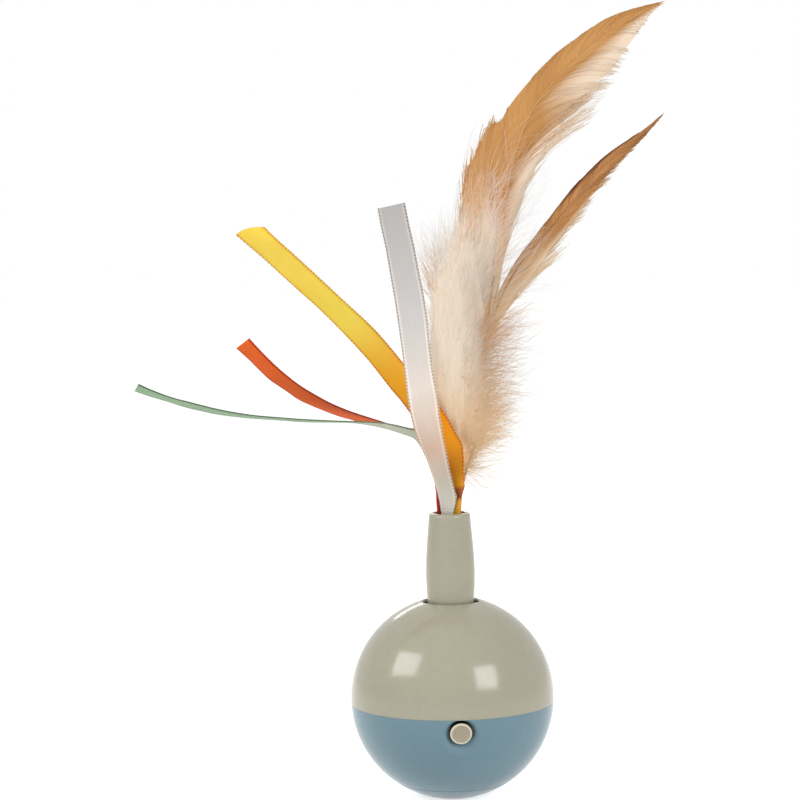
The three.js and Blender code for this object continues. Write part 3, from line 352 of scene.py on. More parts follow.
def mottled(dark, light, grain, gloss, bump, stretch=(1, 1, 1)):
    """Two close colours, mixed by noise that moves roughness over the range gloss, and height by bump mm.

    Its spots are grain mm across, divided by stretch along x, y and z."""

    def pattern(tree):
        place = put(tree, "TexCoord").outputs["Object"]
        scale = [s / (grain * MM) for s in stretch]
        place = put(tree, "Mapping", {"Vector": place, "Scale": scale}).outputs[0]
        noise = put(tree, "TexNoise", {"Vector": place, "Scale": 1.0, "Detail": 3.0}).outputs[0]
        feeds = {0: noise, BLEND_A: linear(dark), BLEND_B: linear(light)}
        colour = put(tree, "Mix", feeds, data_type="RGBA").outputs[BLEND_OUT]
        rough = put(tree, "MapRange", {0: noise, 3: gloss[0], 4: gloss[1]}).outputs[0]
        relief = put(tree, "Bump", {"Height": noise, "Distance": bump * MM, "Strength": 1.0}).outputs[0]
        return {"Base Color": colour, "Roughness": rough, "Normal": relief}

    return pattern


def three_tone(face, rim, skirt_shade, grain):
    """Colours by the piece's "tone" attribute, 0, 1 and 2, under a faint mottle with spots of grain mm."""

    def pattern(tree):
        tone = put(tree, "Attribute", attribute_name="tone").outputs["Fac"]
        # Tone 1 mixes in the rim's painted highlight, and tone 2 the skirt's painted shade
        below = put(tree, "MapRange", {0: tone, 1: 1.0, 2: 2.0}).outputs[0]
        colour = linear(face)
        for share, layer in ((tone, rim), (below, skirt_shade)):
            feeds = {0: share, BLEND_A: colour, BLEND_B: linear(layer)}
            colour = put(tree, "Mix", feeds, data_type="RGBA").outputs[BLEND_OUT]
        place = put(tree, "TexCoord").outputs["Object"]
        noise = put(tree, "TexNoise", {"Vector": place, "Scale": 1 / (grain * MM)}).outputs[0]
        relief = put(tree, "Bump", {"Height": noise, "Distance": 0.004 * MM, "Strength": 1.0}).outputs[0]
        return {"Base Color": colour, "Normal": relief}

    return pattern


def satin(stops, edge, lift, stitch, length):
    """Satin ribbon. The map is in millimetres, u across and v along.

    Long thin streaks of noise are the floats of the warp, a sine wave along it is the weft, and each edge has
    a close-woven band that ends in a line of stitches, dashes of another sine wave. stops are the colours
    along the length, each with its share of the length, and hold the ribbon's painted light and shade. The
    streaks, as painted sheen, lift times edge on the band, and stitch on the stitches multiply them."""

    def pattern(tree):
        uv = put(tree, "UVMap", uv_map="UVMap").outputs[0]
        across, along, _ = put(tree, "SeparateXYZ", {0: uv}).outputs
        place = put(tree, "Mapping", {"Vector": uv, "Scale": STREAKS_PER_MM}).outputs[0]
        streaks = put(tree, "TexNoise", {"Vector": place, "Scale": 1.0, "Detail": 4.0}).outputs[0]
        # The floats' sheen, painted: the colour is up to 6 % darker between the streaks
        painted_sheen = put(tree, "MapRange", {0: streaks, 1: 0.3, 2: 0.7, 3: 0.94, 4: 1.0}).outputs[0]
        # The colours along the length, from a ramp: the ribbon's painted light and shade
        run = put(tree, "MapRange", {0: along, 2: length}).outputs[0]
        ramp = put(tree, "ValToRGB", {0: run})
        marks = ramp.color_ramp.elements
        while len(marks) < len(stops):
            marks.new(0.5)
        for mark, (position, shade) in zip(marks, stops):
            mark.position = position
            mark.color = linear(shade)
        off_middle = put(tree, "Math", {0: across, 1: RIBBON_WIDTH / 2}, operation="SUBTRACT").outputs[0]
        off_middle = put(tree, "Math", {0: off_middle}, operation="ABSOLUTE").outputs[0]
        selvage = put(tree, "MapRange", {0: off_middle, 1: SELVAGE_START, 2: SELVAGE_FULL}).outputs[0]
        waves = []
        for pitch in (PICOT_PITCH, WEFT_PITCH):
            angle = put(tree, "Math", {0: along, 1: TURN / pitch}, operation="MULTIPLY").outputs[0]
            waves.append(put(tree, "Math", {0: angle}, operation="SINE").outputs[0])
        picots, weft = waves
        dashes = put(tree, "MapRange", {0: picots, 1: -0.2, 2: 0.3, 3: 0.45}).outputs[0]
        feeds = {0: off_middle, 1: STITCH_ROW, 2: STITCH_REACH}
        row = put(tree, "Math", feeds, operation="COMPARE").outputs[0]
        sewn = put(tree, "Math", {0: dashes, 1: row}, operation="MULTIPLY").outputs[0]
        band = [lift * value for value in linear(edge)]
        colour = ramp.outputs[0]
        for share, factor in ((1.0, painted_sheen), (selvage, band), (sewn, linear(stitch))):
            feeds = {0: share, BLEND_A: colour, BLEND_B: factor}
            mix = put(tree, "Mix", feeds, data_type="RGBA", blend_type="MULTIPLY")
            colour = mix.outputs[BLEND_OUT]
        height = streaks
        for part, size in ((weft, 0.25), (sewn, 0.12)):
            height = put(tree, "Math", {0: part, 1: size, 2: height}, operation="MULTIPLY_ADD").outputs[0]
        feeds = {"Height": height, "Distance": 0.05 * MM, "Strength": 0.8}
        return {"Base Color": colour, "Normal": put(tree, "Bump", feeds).outputs[0]}

    return pattern


def barbed(shade, body, fringe, base, rim, pale_end):
    """Feather vane. The map's u runs along each barb and v up the feather; "tone" is each barb's own shade.

    Barbs mix from shade to body by their tone, pale to fringe where u is past pale_end, and to base at the
    quill end. Where u runs down from 0 instead, they darken to rim at their tips."""

    def pattern(tree):
        uv = put(tree, "UVMap", uv_map="UVMap").outputs[0]
        out_along, up, _ = put(tree, "SeparateXYZ", {0: uv}).outputs
        tone = put(tree, "Attribute", attribute_name="tone").outputs["Fac"]
        dark = put(tree, "MapRange", {0: out_along, 1: -0.35, 2: -0.85}).outputs[0]
        tips = put(tree, "MapRange", {0: out_along, 1: pale_end, 2: 1.0}).outputs[0]
        foot = put(tree, "MapRange", {0: up, 1: 0.32, 2: 0.02}).outputs[0]
        colour = linear(shade)
        for share, layer in ((tone, body), (dark, rim), (tips, fringe), (foot, base)):
            feeds = {0: share, BLEND_A: colour, BLEND_B: linear(layer)}
            colour = put(tree, "Mix", feeds, data_type="RGBA").outputs[BLEND_OUT]
        feeds = {"Height": tone, "Distance": 0.08 * MM, "Strength": 0.5}
        return {"Base Color": colour, "Normal": put(tree, "Bump", feeds).outputs[0]}

    return pattern


# Mottled finishes by slot, and by shaft for the feathers' own: name, two close colours, size of the spots in
# mm, range of roughness, height of the spots in mm, IOR and metallic
mottled_looks = {
    # Gloss ABS, injection moulded: even colour, a barely mottled skin and clear, slightly soft reflections
    "grey_green": ("gloss_abs_grey_green", "#A5A18D", "#ACA894", 2.2, (0.13, 0.19), 0.004, 1.46, 0.0),
    "blue": ("gloss_abs_blue", "#678793", "#6D8D99", 2.2, (0.15, 0.21), 0.004, 1.46, 0.0),
    # Nylon filled with glass fibre, moulded black: matt and slightly uneven
    "dark_plastic": ("glass_filled_nylon_black", "#262628", "#303032", 0.6, (0.4, 0.6), 0.03, 1.53, 0.0),
    # Acetal, moulded white: smooth, with a silky half gloss
    "white_plastic": ("acetal_white", "#E9E9E6", "#F2F2F0", 1.0, (0.3, 0.42), 0.01, 1.48, 0.0),
    # Polythene, moulded: pale, waxy and dull
    "plug_plastic": ("polythene_plug", "#CCC6B6", "#DAD4C6", 1.0, (0.5, 0.65), 0.03, 1.51, 0.0),
    # Glass-epoxy board under green solder mask: the weave shows as a faint mottle under the gloss
    "board": ("solder_mask_board", "#285E3C", "#33704A", 0.5, (0.3, 0.4), 0.02, 1.55, 0.0),
    # Cast steel: dull grey, with a coarse grain
    "ballast_steel": ("cast_steel_ballast", "#6E7072", "#8C8F91", 0.8, (0.45, 0.65), 0.05, 1.5, 1.0),
    # Spring steel, pressed and nickel plated: pale and bright
    "contact_plating": ("nickel_plated_spring_steel", "#C6C6BE", "#D6D6CF", 0.3, (0.2, 0.3), 0.004, 1.5, 1.0),
    # Brass, turned: yellow, with a soft shine
    "brass": ("turned_brass", "#B8924C", "#CBA660", 0.3, (0.25, 0.4), 0.006, 1.5, 1.0),
    # PVC, drawn over the wire: smooth, half gloss
    "red_lead": ("pvc_lead_red", "#B03226", "#C43F32", 0.8, (0.35, 0.45), 0.01, 1.54, 0.0),
    "black_lead": ("pvc_lead_black", "#1F1F22", "#2B2B2E", 0.8, (0.35, 0.45), 0.01, 1.54, 0.0),
    # Horn of a feather's shaft, grown: smooth, straw-coloured or brown, half gloss
    "tan_shaft": ("feather_shaft_horn", "#C3925A", "#D3A56C", 0.6, (0.45, 0.6), 0.02, 1.54, 0.0),
    "brown_shaft": ("feather_shaft_brown", "#9A6C40", "#B28150", 0.6, (0.4, 0.55), 0.02, 1.54, 0.0),
}
finishes = {
    key: finish(name, mottled(dark, light, grain, gloss, bump), {"IOR": ior, "Metallic": metallic})
    for key, (name, dark, light, grain, gloss, bump, ior, metallic) in mottled_looks.items()
}
# Steel, turned or drawn, nickel plated: fine lines along z give a soft, streaked shine
finishes["steel"] = finish(
    "nickel_plated_steel",
    mottled("#ABAEB1", "#C4C7CA", 0.3, (0.25, 0.38), 0.006, (1, 1, 0.15)),
    {"IOR": 1.5, "Metallic": 1.0},
)
# Nylon, moulded in its natural colour: waxy off-white, a little clear at thin edges
finishes["natural_nylon"] = finish(
    "natural_nylon",
    mottled("#DEDACC", "#EAE6DA", 1.2, (0.42, 0.55), 0.02),
    {"IOR": 1.53, "Subsurface Weight": 0.1, "Subsurface Scale": 0.001},
)
# The button's ABS moulding: a warm grey face; its paler rim is a painted highlight on the rounding, and its
# dark skirt is painted shade down in the hole
finishes["button"] = finish(
    "gloss_abs_button",
    three_tone("#A89C86", "#DAD1B8", "#1B1D1E", 0.5),
    {"Roughness": 0.2, "IOR": 1.46},
)

# Polyester satin ribbon with a woven edge: long floats give streaks of shine along its length, painted into
# the colour as sheen. The colours along each ribbon hold its painted light and shade
ribbon_colours_and_shade = {
    # White: painted light and shade, greyer towards the root and the tip, lightest at the middle, warmer at a
    # third
    "white": [
        (0.0, "#BDBBAC"),
        (0.2, "#CCC7BA"),
        (0.33, "#D8B9A3"),
        (0.5, "#ECE0D5"),
        (0.68, "#D2CDCA"),
        (1.0, "#B4B1B0"),
    ],
    # Yellow: painted shade, a dark brown band for the fold near its foot, and deeper orange lower down
    "yellow": [
        (0.0, "#FFBE40"),
        (0.15, "#FFBE40"),
        (0.16, "#96461A"),
        (0.18, "#C4682A"),
        (0.19, "#FFB024"),
        (0.38, "#F79C08"),
        (0.52, "#FFBA20"),
        (0.68, "#FFE354"),
        (1.0, "#FFDA4A"),
    ],
    # Orange: painted shade, dark red towards the root, in the neck's bore and just above its rim
    "orange": [(0.0, "#8E1712"), (0.2, "#A82414"), (0.32, "#F0601C"), (1.0, "#FF6E22")],
    # Green: painted sheen, paler and greyer towards the root
    "green": [(0.0, "#BFC7AC"), (0.4, "#D3D8C4"), (0.52, "#9DBC95"), (1.0, "#9CBD97")],
}
# For each colour: what multiplies the selvage, by how much it is lifted, what multiplies the stitches, the
# length in mm, the roughness and the specular level
ribbon_trims = {
    "white": ("#FFFDF9", 1.25, "#B4AFAA", 122.0, 0.45, 0.3),
    "yellow": ("#FFF3CC", 1.0, "#C4A878", 138.0, 0.42, 0.35),
    "orange": ("#ECC8B0", 1.0, "#B88468", 113.0, 0.6, 0.1),
    "green": ("#CCD2CA", 1.0, "#969E92", 140.0, 0.6, 0.15),
}
for name, (edge, lift, stitch, length, rough, gloss) in ribbon_trims.items():
    finishes[f"{name}_satin"] = finish(
        f"polyester_satin_{name}",
        satin(ribbon_colours_and_shade[name], edge, lift, stitch, length),
        {"Roughness": rough, "IOR": 1.57, "Specular IOR Level": gloss},
    )

# Keratin feather barbs, dyed: matt, streaked along each barb, paler where they thin out
BARB_LOOK = {
    "Roughness": 0.6,
    "IOR": 1.54,
    "Specular IOR Level": 0.08,
    "Sheen Weight": 0.02,
    "Sheen Roughness": 0.5,
}
finishes["tan_barbs"] = finish(
    "feather_vane_tan",
    barbed("#AC7439", "#CF9A60", "#EFD9C0", "#E6D0B6", "#8A5A2C", 0.5),
    BARB_LOOK,
)
finishes["brown_barbs"] = finish(
    "feather_vane_brown",
    barbed("#7A4622", "#C8905A", "#E6CBA9", "#F2D8B4", "#5A2C12", 0.6),
    BARB_LOOK,
)
# Feather down, undyed: it lets light through, most of all where it is close, so that its shadows are warm and
# soft. Its loose strands go from golden to a pale grey by their tone
DOWN_LOOK = {
    "Roughness": 0.75,
    "IOR": 1.54,
    "Specular IOR Level": 0.05,
    "Subsurface Weight": 0.9,
    "Subsurface Radius": (1.0, 0.82, 0.65),
    "Subsurface Scale": 0.0015,
}
finishes["down"] = finish(
    "feather_down_pale",
    barbed("#DEA960", "#EBE4DB", "#F0EBE4", "#FBE0B4", "#DEA960", 0.45),
    {**DOWN_LOOK, "Subsurface Weight": 0.2},
)
finishes["down_middle"] = finish(
    "feather_down_close",
    barbed("#D0B48A", "#F0E7DA", "#F8F0E8", "#EED2A6", "#D0B48A", 0.45),
    DOWN_LOOK,
)

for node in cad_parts.values():
    for holder in node.material_slots:
        holder.material = finishes[holder.material.name]


def place(piece, body, slot, *nodes, look=None):
    """Attaches a piece to its body, hides its CAD nodes, gives it the slot's finish or else the one named
    look.
    """
    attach(piece, body)
    piece.data.materials.clear()
    piece.data.materials.append(finishes[look or slot])
    if nodes:
        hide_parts(*nodes)
    return piece


# Ball


def rise(radius, width):
    """Height off the ball's middle at which a ball of that radius is width wide."""
    return math.sqrt(radius**2 - width**2)


def upper_shell():
    """Turned cap of the ball with a bevelled opening, a recess for the lap, and two screw posts inside."""
    edge = SEAM_Z + SEAM_GAP
    lip_radius = OPENING_RADIUS + OPENING_LIP
    lip_z = BALL_Z + rise(BALL_RADIUS, lip_radius)
    outer = arc(BALL_RADIUS, level(BALL_RADIUS, edge), math.pi - low(BALL_RADIUS, lip_radius), 90)
    inner_top = math.pi - low(WALL_RADIUS, OPENING_RADIUS)
    inner = arc(WALL_RADIUS, inner_top, level(WALL_RADIUS, LAP_Z + FIT), 40)
    profile = [
        *outer,
        (OPENING_RADIUS, lip_z - OPENING_LIP),
        *inner,
        (LAP_RADIUS + FIT, LAP_Z + FIT),
        (LAP_RADIUS + FIT, edge),
    ]
    rounds = {0: 0.06, len(outer) - 1: 0.2, len(outer): 0.2}
    shell = turned("upper_shell_skin", rounded(profile, rounds))
    for x, y in SHELL_BOSSES:
        reach = BALL_Z + rise(BOSS_END_RADIUS, math.hypot(x, y) + BOSS_RADIUS)
        combine(shell, disc(BOSS_RADIUS, SHELL_SPLIT_Z + FIT, reach, (x, y)), "UNION")
        hole = disc(SCREW_HOLE_RADIUS, SHELL_SPLIT_Z - 1, SHELL_HOLE_TOP_Z, (x, y), 24)
        combine(shell, hole, "DIFFERENCE")
    return smooth_faces(shell)


def dish_sink(points):
    """Moves points of the ball's outside inwards over the button's dish.

    With a the way in from the dish's rim and b the way out from the button's hole, s = a / (a + b) is 0 at
    the rim and 1 at the hole, whose middle is higher. The depth is DISH_DEPTH (0.2 s + 0.8 s^2.2) and
    nothing outside the rim, joined by lip ln(1 + e^(depth / lip)), less ridge e^(-(a / width)^2) for the low
    bead on the rim. The wall's inner face moves by a share of that."""
    off = points - MIDDLE
    reach = np.linalg.norm(off, axis=1)
    out = []
    for drop in (DISH_DROP, BUTTON_DROP):
        axis = np.array(aim(drop).to_3x3().col[2])
        out.append(BALL_RADIUS * np.arccos(np.clip(off @ axis / np.maximum(reach, 1e-6), -1, 1)))
    inwards = DISH_RADIUS - out[0]
    bead = DISH_RIDGE * np.exp(-((inwards / DISH_RIDGE_WIDTH) ** 2))
    outwards = np.maximum(out[1] - BUTTON_HOLE_RADIUS, 0)
    inwards = inwards / np.maximum(np.abs(inwards) + outwards, 1e-6)
    depth = DISH_DEPTH * (0.2 * inwards + 0.8 * np.maximum(inwards, 0) ** 2.2)
    depth = DISH_LIP * np.log1p(np.exp(np.clip(depth / DISH_LIP, -60, 60))) - bead
    depth *= np.where(reach > BALL_RADIUS - 0.3, 1, DISH_INSIDE_SHARE * (np.abs(reach - WALL_RADIUS) < 0.1))
    factor = (reach - depth) / np.maximum(reach, 1e-6)
    return MIDDLE + off * factor[:, None]


def lower_shell():
    """Turned bowl with the battery bay, sunk over the button's dish, then bossed and drilled.

    The mesh is finer round the dish: from the seam down to dish_low, and half_near to each side of it."""
    start = low(BALL_RADIUS, DOOR_HOLE_RADIUS)
    dish_low = math.radians(90 - DISH_DROP - 13)
    half_near = 0.23
    top = level(BALL_RADIUS, SEAM_Z)
    outer = arc(BALL_RADIUS, top, dish_low, 74) + arc(BALL_RADIUS, dish_low, start, 26)[1:]
    inner = arc(WALL_RADIUS, low(WALL_RADIUS, SHELF_RADIUS), level(WALL_RADIUS, LAP_Z), 30)
    profile = [
        *outer,
        (DOOR_HOLE_RADIUS, LEDGE_Z),
        (BAY_RADIUS, LEDGE_Z),
        (BAY_RADIUS, BAY_CEILING_Z),
        (0, BAY_CEILING_Z),
        (0, BAY_TOP_Z),
        (BAY_WALL_RADIUS, BAY_TOP_Z),
        (BAY_WALL_RADIUS, BALL_Z - rise(WALL_RADIUS, SHELF_RADIUS)),
        *inner,
        (LAP_RADIUS, LAP_Z),
        (LAP_RADIUS, SEAM_Z),
    ]
    profile = rounded(profile, {0: 0.06, len(outer) - 1: 0.2})
    middle = math.radians(BUTTON_TURN) - TURN / 4
    near = np.linspace(-half_near, half_near, 76)
    far = np.linspace(half_near, TURN - half_near, 132)[1:-1]
    shell = turned("lower_shell_skin", profile, middle + np.concatenate([near, far]))
    points = np.empty(len(shell.data.vertices) * 3)
    shell.data.vertices.foreach_get("co", points)
    points = dish_sink(points.reshape(-1, 3) / MM) * MM
    shell.data.vertices.foreach_set("co", points.ravel())
    shell.data.update()
    for x, y in HOLDER_FEET:
        combine(shell, disc(BOSS_RADIUS, BAY_TOP_Z - 0.8, HOLDER_BOSS_TOP_Z, (x, y)), "UNION")
        hole = disc(SCREW_HOLE_RADIUS, HOLDER_HOLE_Z, HOLDER_BOSS_TOP_Z + 1, (x, y), 24)
        combine(shell, hole, "DIFFERENCE")
    for x, y in SHELL_BOSSES:
        foot = BALL_Z - rise(BOSS_END_RADIUS, math.hypot(x, y) + WELL_BOSS_RADIUS)
        combine(shell, disc(WELL_BOSS_RADIUS, foot, SHELL_SPLIT_Z, (x, y)), "UNION")
        combine(shell, disc(SCREW_HOLE_RADIUS, 1, SHELL_SPLIT_Z + 1, (x, y), 24), "DIFFERENCE")
        combine(shell, disc(WELL_RADIUS, 1, SHELL_SEAT_Z, (x, y)), "DIFFERENCE")
    hole = disc(SCREW_HOLE_RADIUS, LEDGE_Z + 0.1, DOOR_HOLE_TOP_Z, (0, DOOR_SCREW_Y), 24)
    combine(shell, hole, "DIFFERENCE")
    hole = disc(BUTTON_HOLE_RADIUS, WALL_RADIUS - 5, BALL_RADIUS + 2, sides=128)
    hole.data.transform(aim(BUTTON_DROP))
    combine(shell, hole, "DIFFERENCE")
    return smooth_faces(shell)


def battery_door():
    """Turned cap: the ball's curve from the stand flat to the door's edge, a rim inside, and a screw well."""
    outer = arc(BALL_RADIUS, low(BALL_RADIUS, STAND_RADIUS), low(BALL_RADIUS, DOOR_RADIUS), 28)
    flat = rise(WALL_RADIUS, BALL_Z - DOOR_FLOOR)
    inner = arc(WALL_RADIUS, low(WALL_RADIUS, DOOR_RIM_RADIUS), low(WALL_RADIUS, flat), 16)
    profile = [
        (0, 0),
        *outer,
        (DOOR_RADIUS, DOOR_TOP_Z),
        (DOOR_RIM_RADIUS, DOOR_TOP_Z),
        *inner,
        (0, DOOR_FLOOR),
    ]
    door = turned("battery_door_cap", rounded(profile, {len(outer): 0.2}), closed=False)
    here = (0, DOOR_SCREW_Y)
    pad_foot = BALL_Z - rise(BOSS_END_RADIUS, DOOR_SCREW_Y + BOSS_RADIUS)
    combine(door, disc(BOSS_RADIUS - 0.9, pad_foot, DOOR_TOP_Z - 0.01, here), "UNION")
    combine(door, disc(SCREW_HOLE_RADIUS, 1, DOOR_TOP_Z + 1, here, 24), "DIFFERENCE")
    combine(door, disc(WELL_RADIUS, -1, DOOR_SEAT_Z, here), "DIFFERENCE")
    return smooth_faces(door)


def power_button():
    """Turned cap on the button's axis, with a rounded rim, a face sunk a little inside it, flange and stem.

    Its tone is 0 on the face and 1 on the rim, for a painted highlight, with 1 more on the skirt, from 0.45
    mm down, for painted shade."""
    top = BALL_RADIUS
    profile = [
        (0, STEM_END),
        (STEM_RADIUS, STEM_END),
        (STEM_RADIUS, FLANGE_LOW),
        (FLANGE_RADIUS, FLANGE_LOW),
        (FLANGE_RADIUS, FLANGE_TOP),
        (CAP_RADIUS, FLANGE_TOP),
        (CAP_RADIUS, top),
        (CAP_RIM_RADIUS, top),
        (CAP_FACE_RADIUS, top - CAP_FACE_EDGE),
        (0, top - CAP_FACE_SINK),
    ]
    rounds = {1: 0.2, 3: 0.15, 4: 0.15, 6: 0.5, 7: 0.2, 8: 0.2}
    button = turned("power_button_cap", rounded(profile, rounds, 9), even_angles(96), closed=False)
    places = np.empty(len(button.data.vertices) * 3)
    button.data.vertices.foreach_get("co", places)
    x, y, z = places.reshape(-1, 3).T / MM
    tone = button.data.attributes.new("tone", "FLOAT", "POINT")
    # The rim's share of the painted highlight; the skirt below takes painted shade
    rim = np.clip((np.hypot(x, y) - CAP_FACE_RADIUS) / 0.4, 0, 1)
    tone.data.foreach_set("value", rim + (z < top - 0.45))
    button.data.transform(aim(BUTTON_DROP))
    return button


def spline(rows, count):
    """count rows on the smooth curve through the given ones.

    Between rows b and c, with a before and d after, the row at t is
    (2b + (c-a) t + (2a-5b+4c-d) t^2 + (3b-a-3c+d) t^3) / 2."""
    rows = np.asarray(rows, float)
    rows = np.concatenate([2 * rows[:1] - rows[1:2], rows, 2 * rows[-1:] - rows[-2:-1]])
    where = np.linspace(0, len(rows) - 3 - 1e-9, count)
    i = where.astype(int)
    t = (where - i)[:, None]
    a, b, c, d = rows[i], rows[i + 1], rows[i + 2], rows[i + 3]
    return (2 * b + (c - a) * t + (2 * a - 5 * b + 4 * c - d) * t**2 + (3 * b - a - 3 * c + d) * t**3) / 2


def neck():
    """Turned barrel: outside through measured radii, rounded rim, bore above and hub socket below."""
    outside = [
        (7.4, NECK_BOTTOM_Z),
        (7.6, 62.0),
        (7.8, 65.8),
        (8.03, 69.5),
        (8.17, 73.0),
        (8.2, 76.5),
        (8.05, 80.5),
        (7.72, 85.2),
        (7.3, 90.0),
        (6.98, 94.0),
    ]
    steps = 60
    profile = [
        (HUB_SOCKET_RADIUS, NECK_BOTTOM_Z),
        *spline(outside, steps).tolist(),
        (NECK_RIM_RADIUS, NECK_TOP_Z),
        (BORE_RADIUS, NECK_TOP_Z),
        (BORE_RADIUS, BORE_FLOOR_Z),
        (SCREW_HOLE_RADIUS, BORE_FLOOR_Z),
        (SCREW_HOLE_RADIUS, HUB_SOCKET_TOP_Z),
        (HUB_SOCKET_RADIUS, HUB_SOCKET_TOP_Z),
    ]
    rounds = {1: 0.3, steps + 1: 1.2, steps + 2: 0.4}
    return turned("neck_tube", rounded(profile, rounds, 8), even_angles(144))


place(upper_shell(), "housing", "grey_green", "upper_shell")
place(lower_shell(), "housing", "blue", "lower_shell")
place(battery_door(), "housing", "blue", "battery_door")
place(power_button(), "button", "grey_green", "power_button", look="button")
place(neck(), "turret", "grey_green", "neck")


# Ribbons: rows from the root up. Each gives the left or lower edge, then the right or upper edge

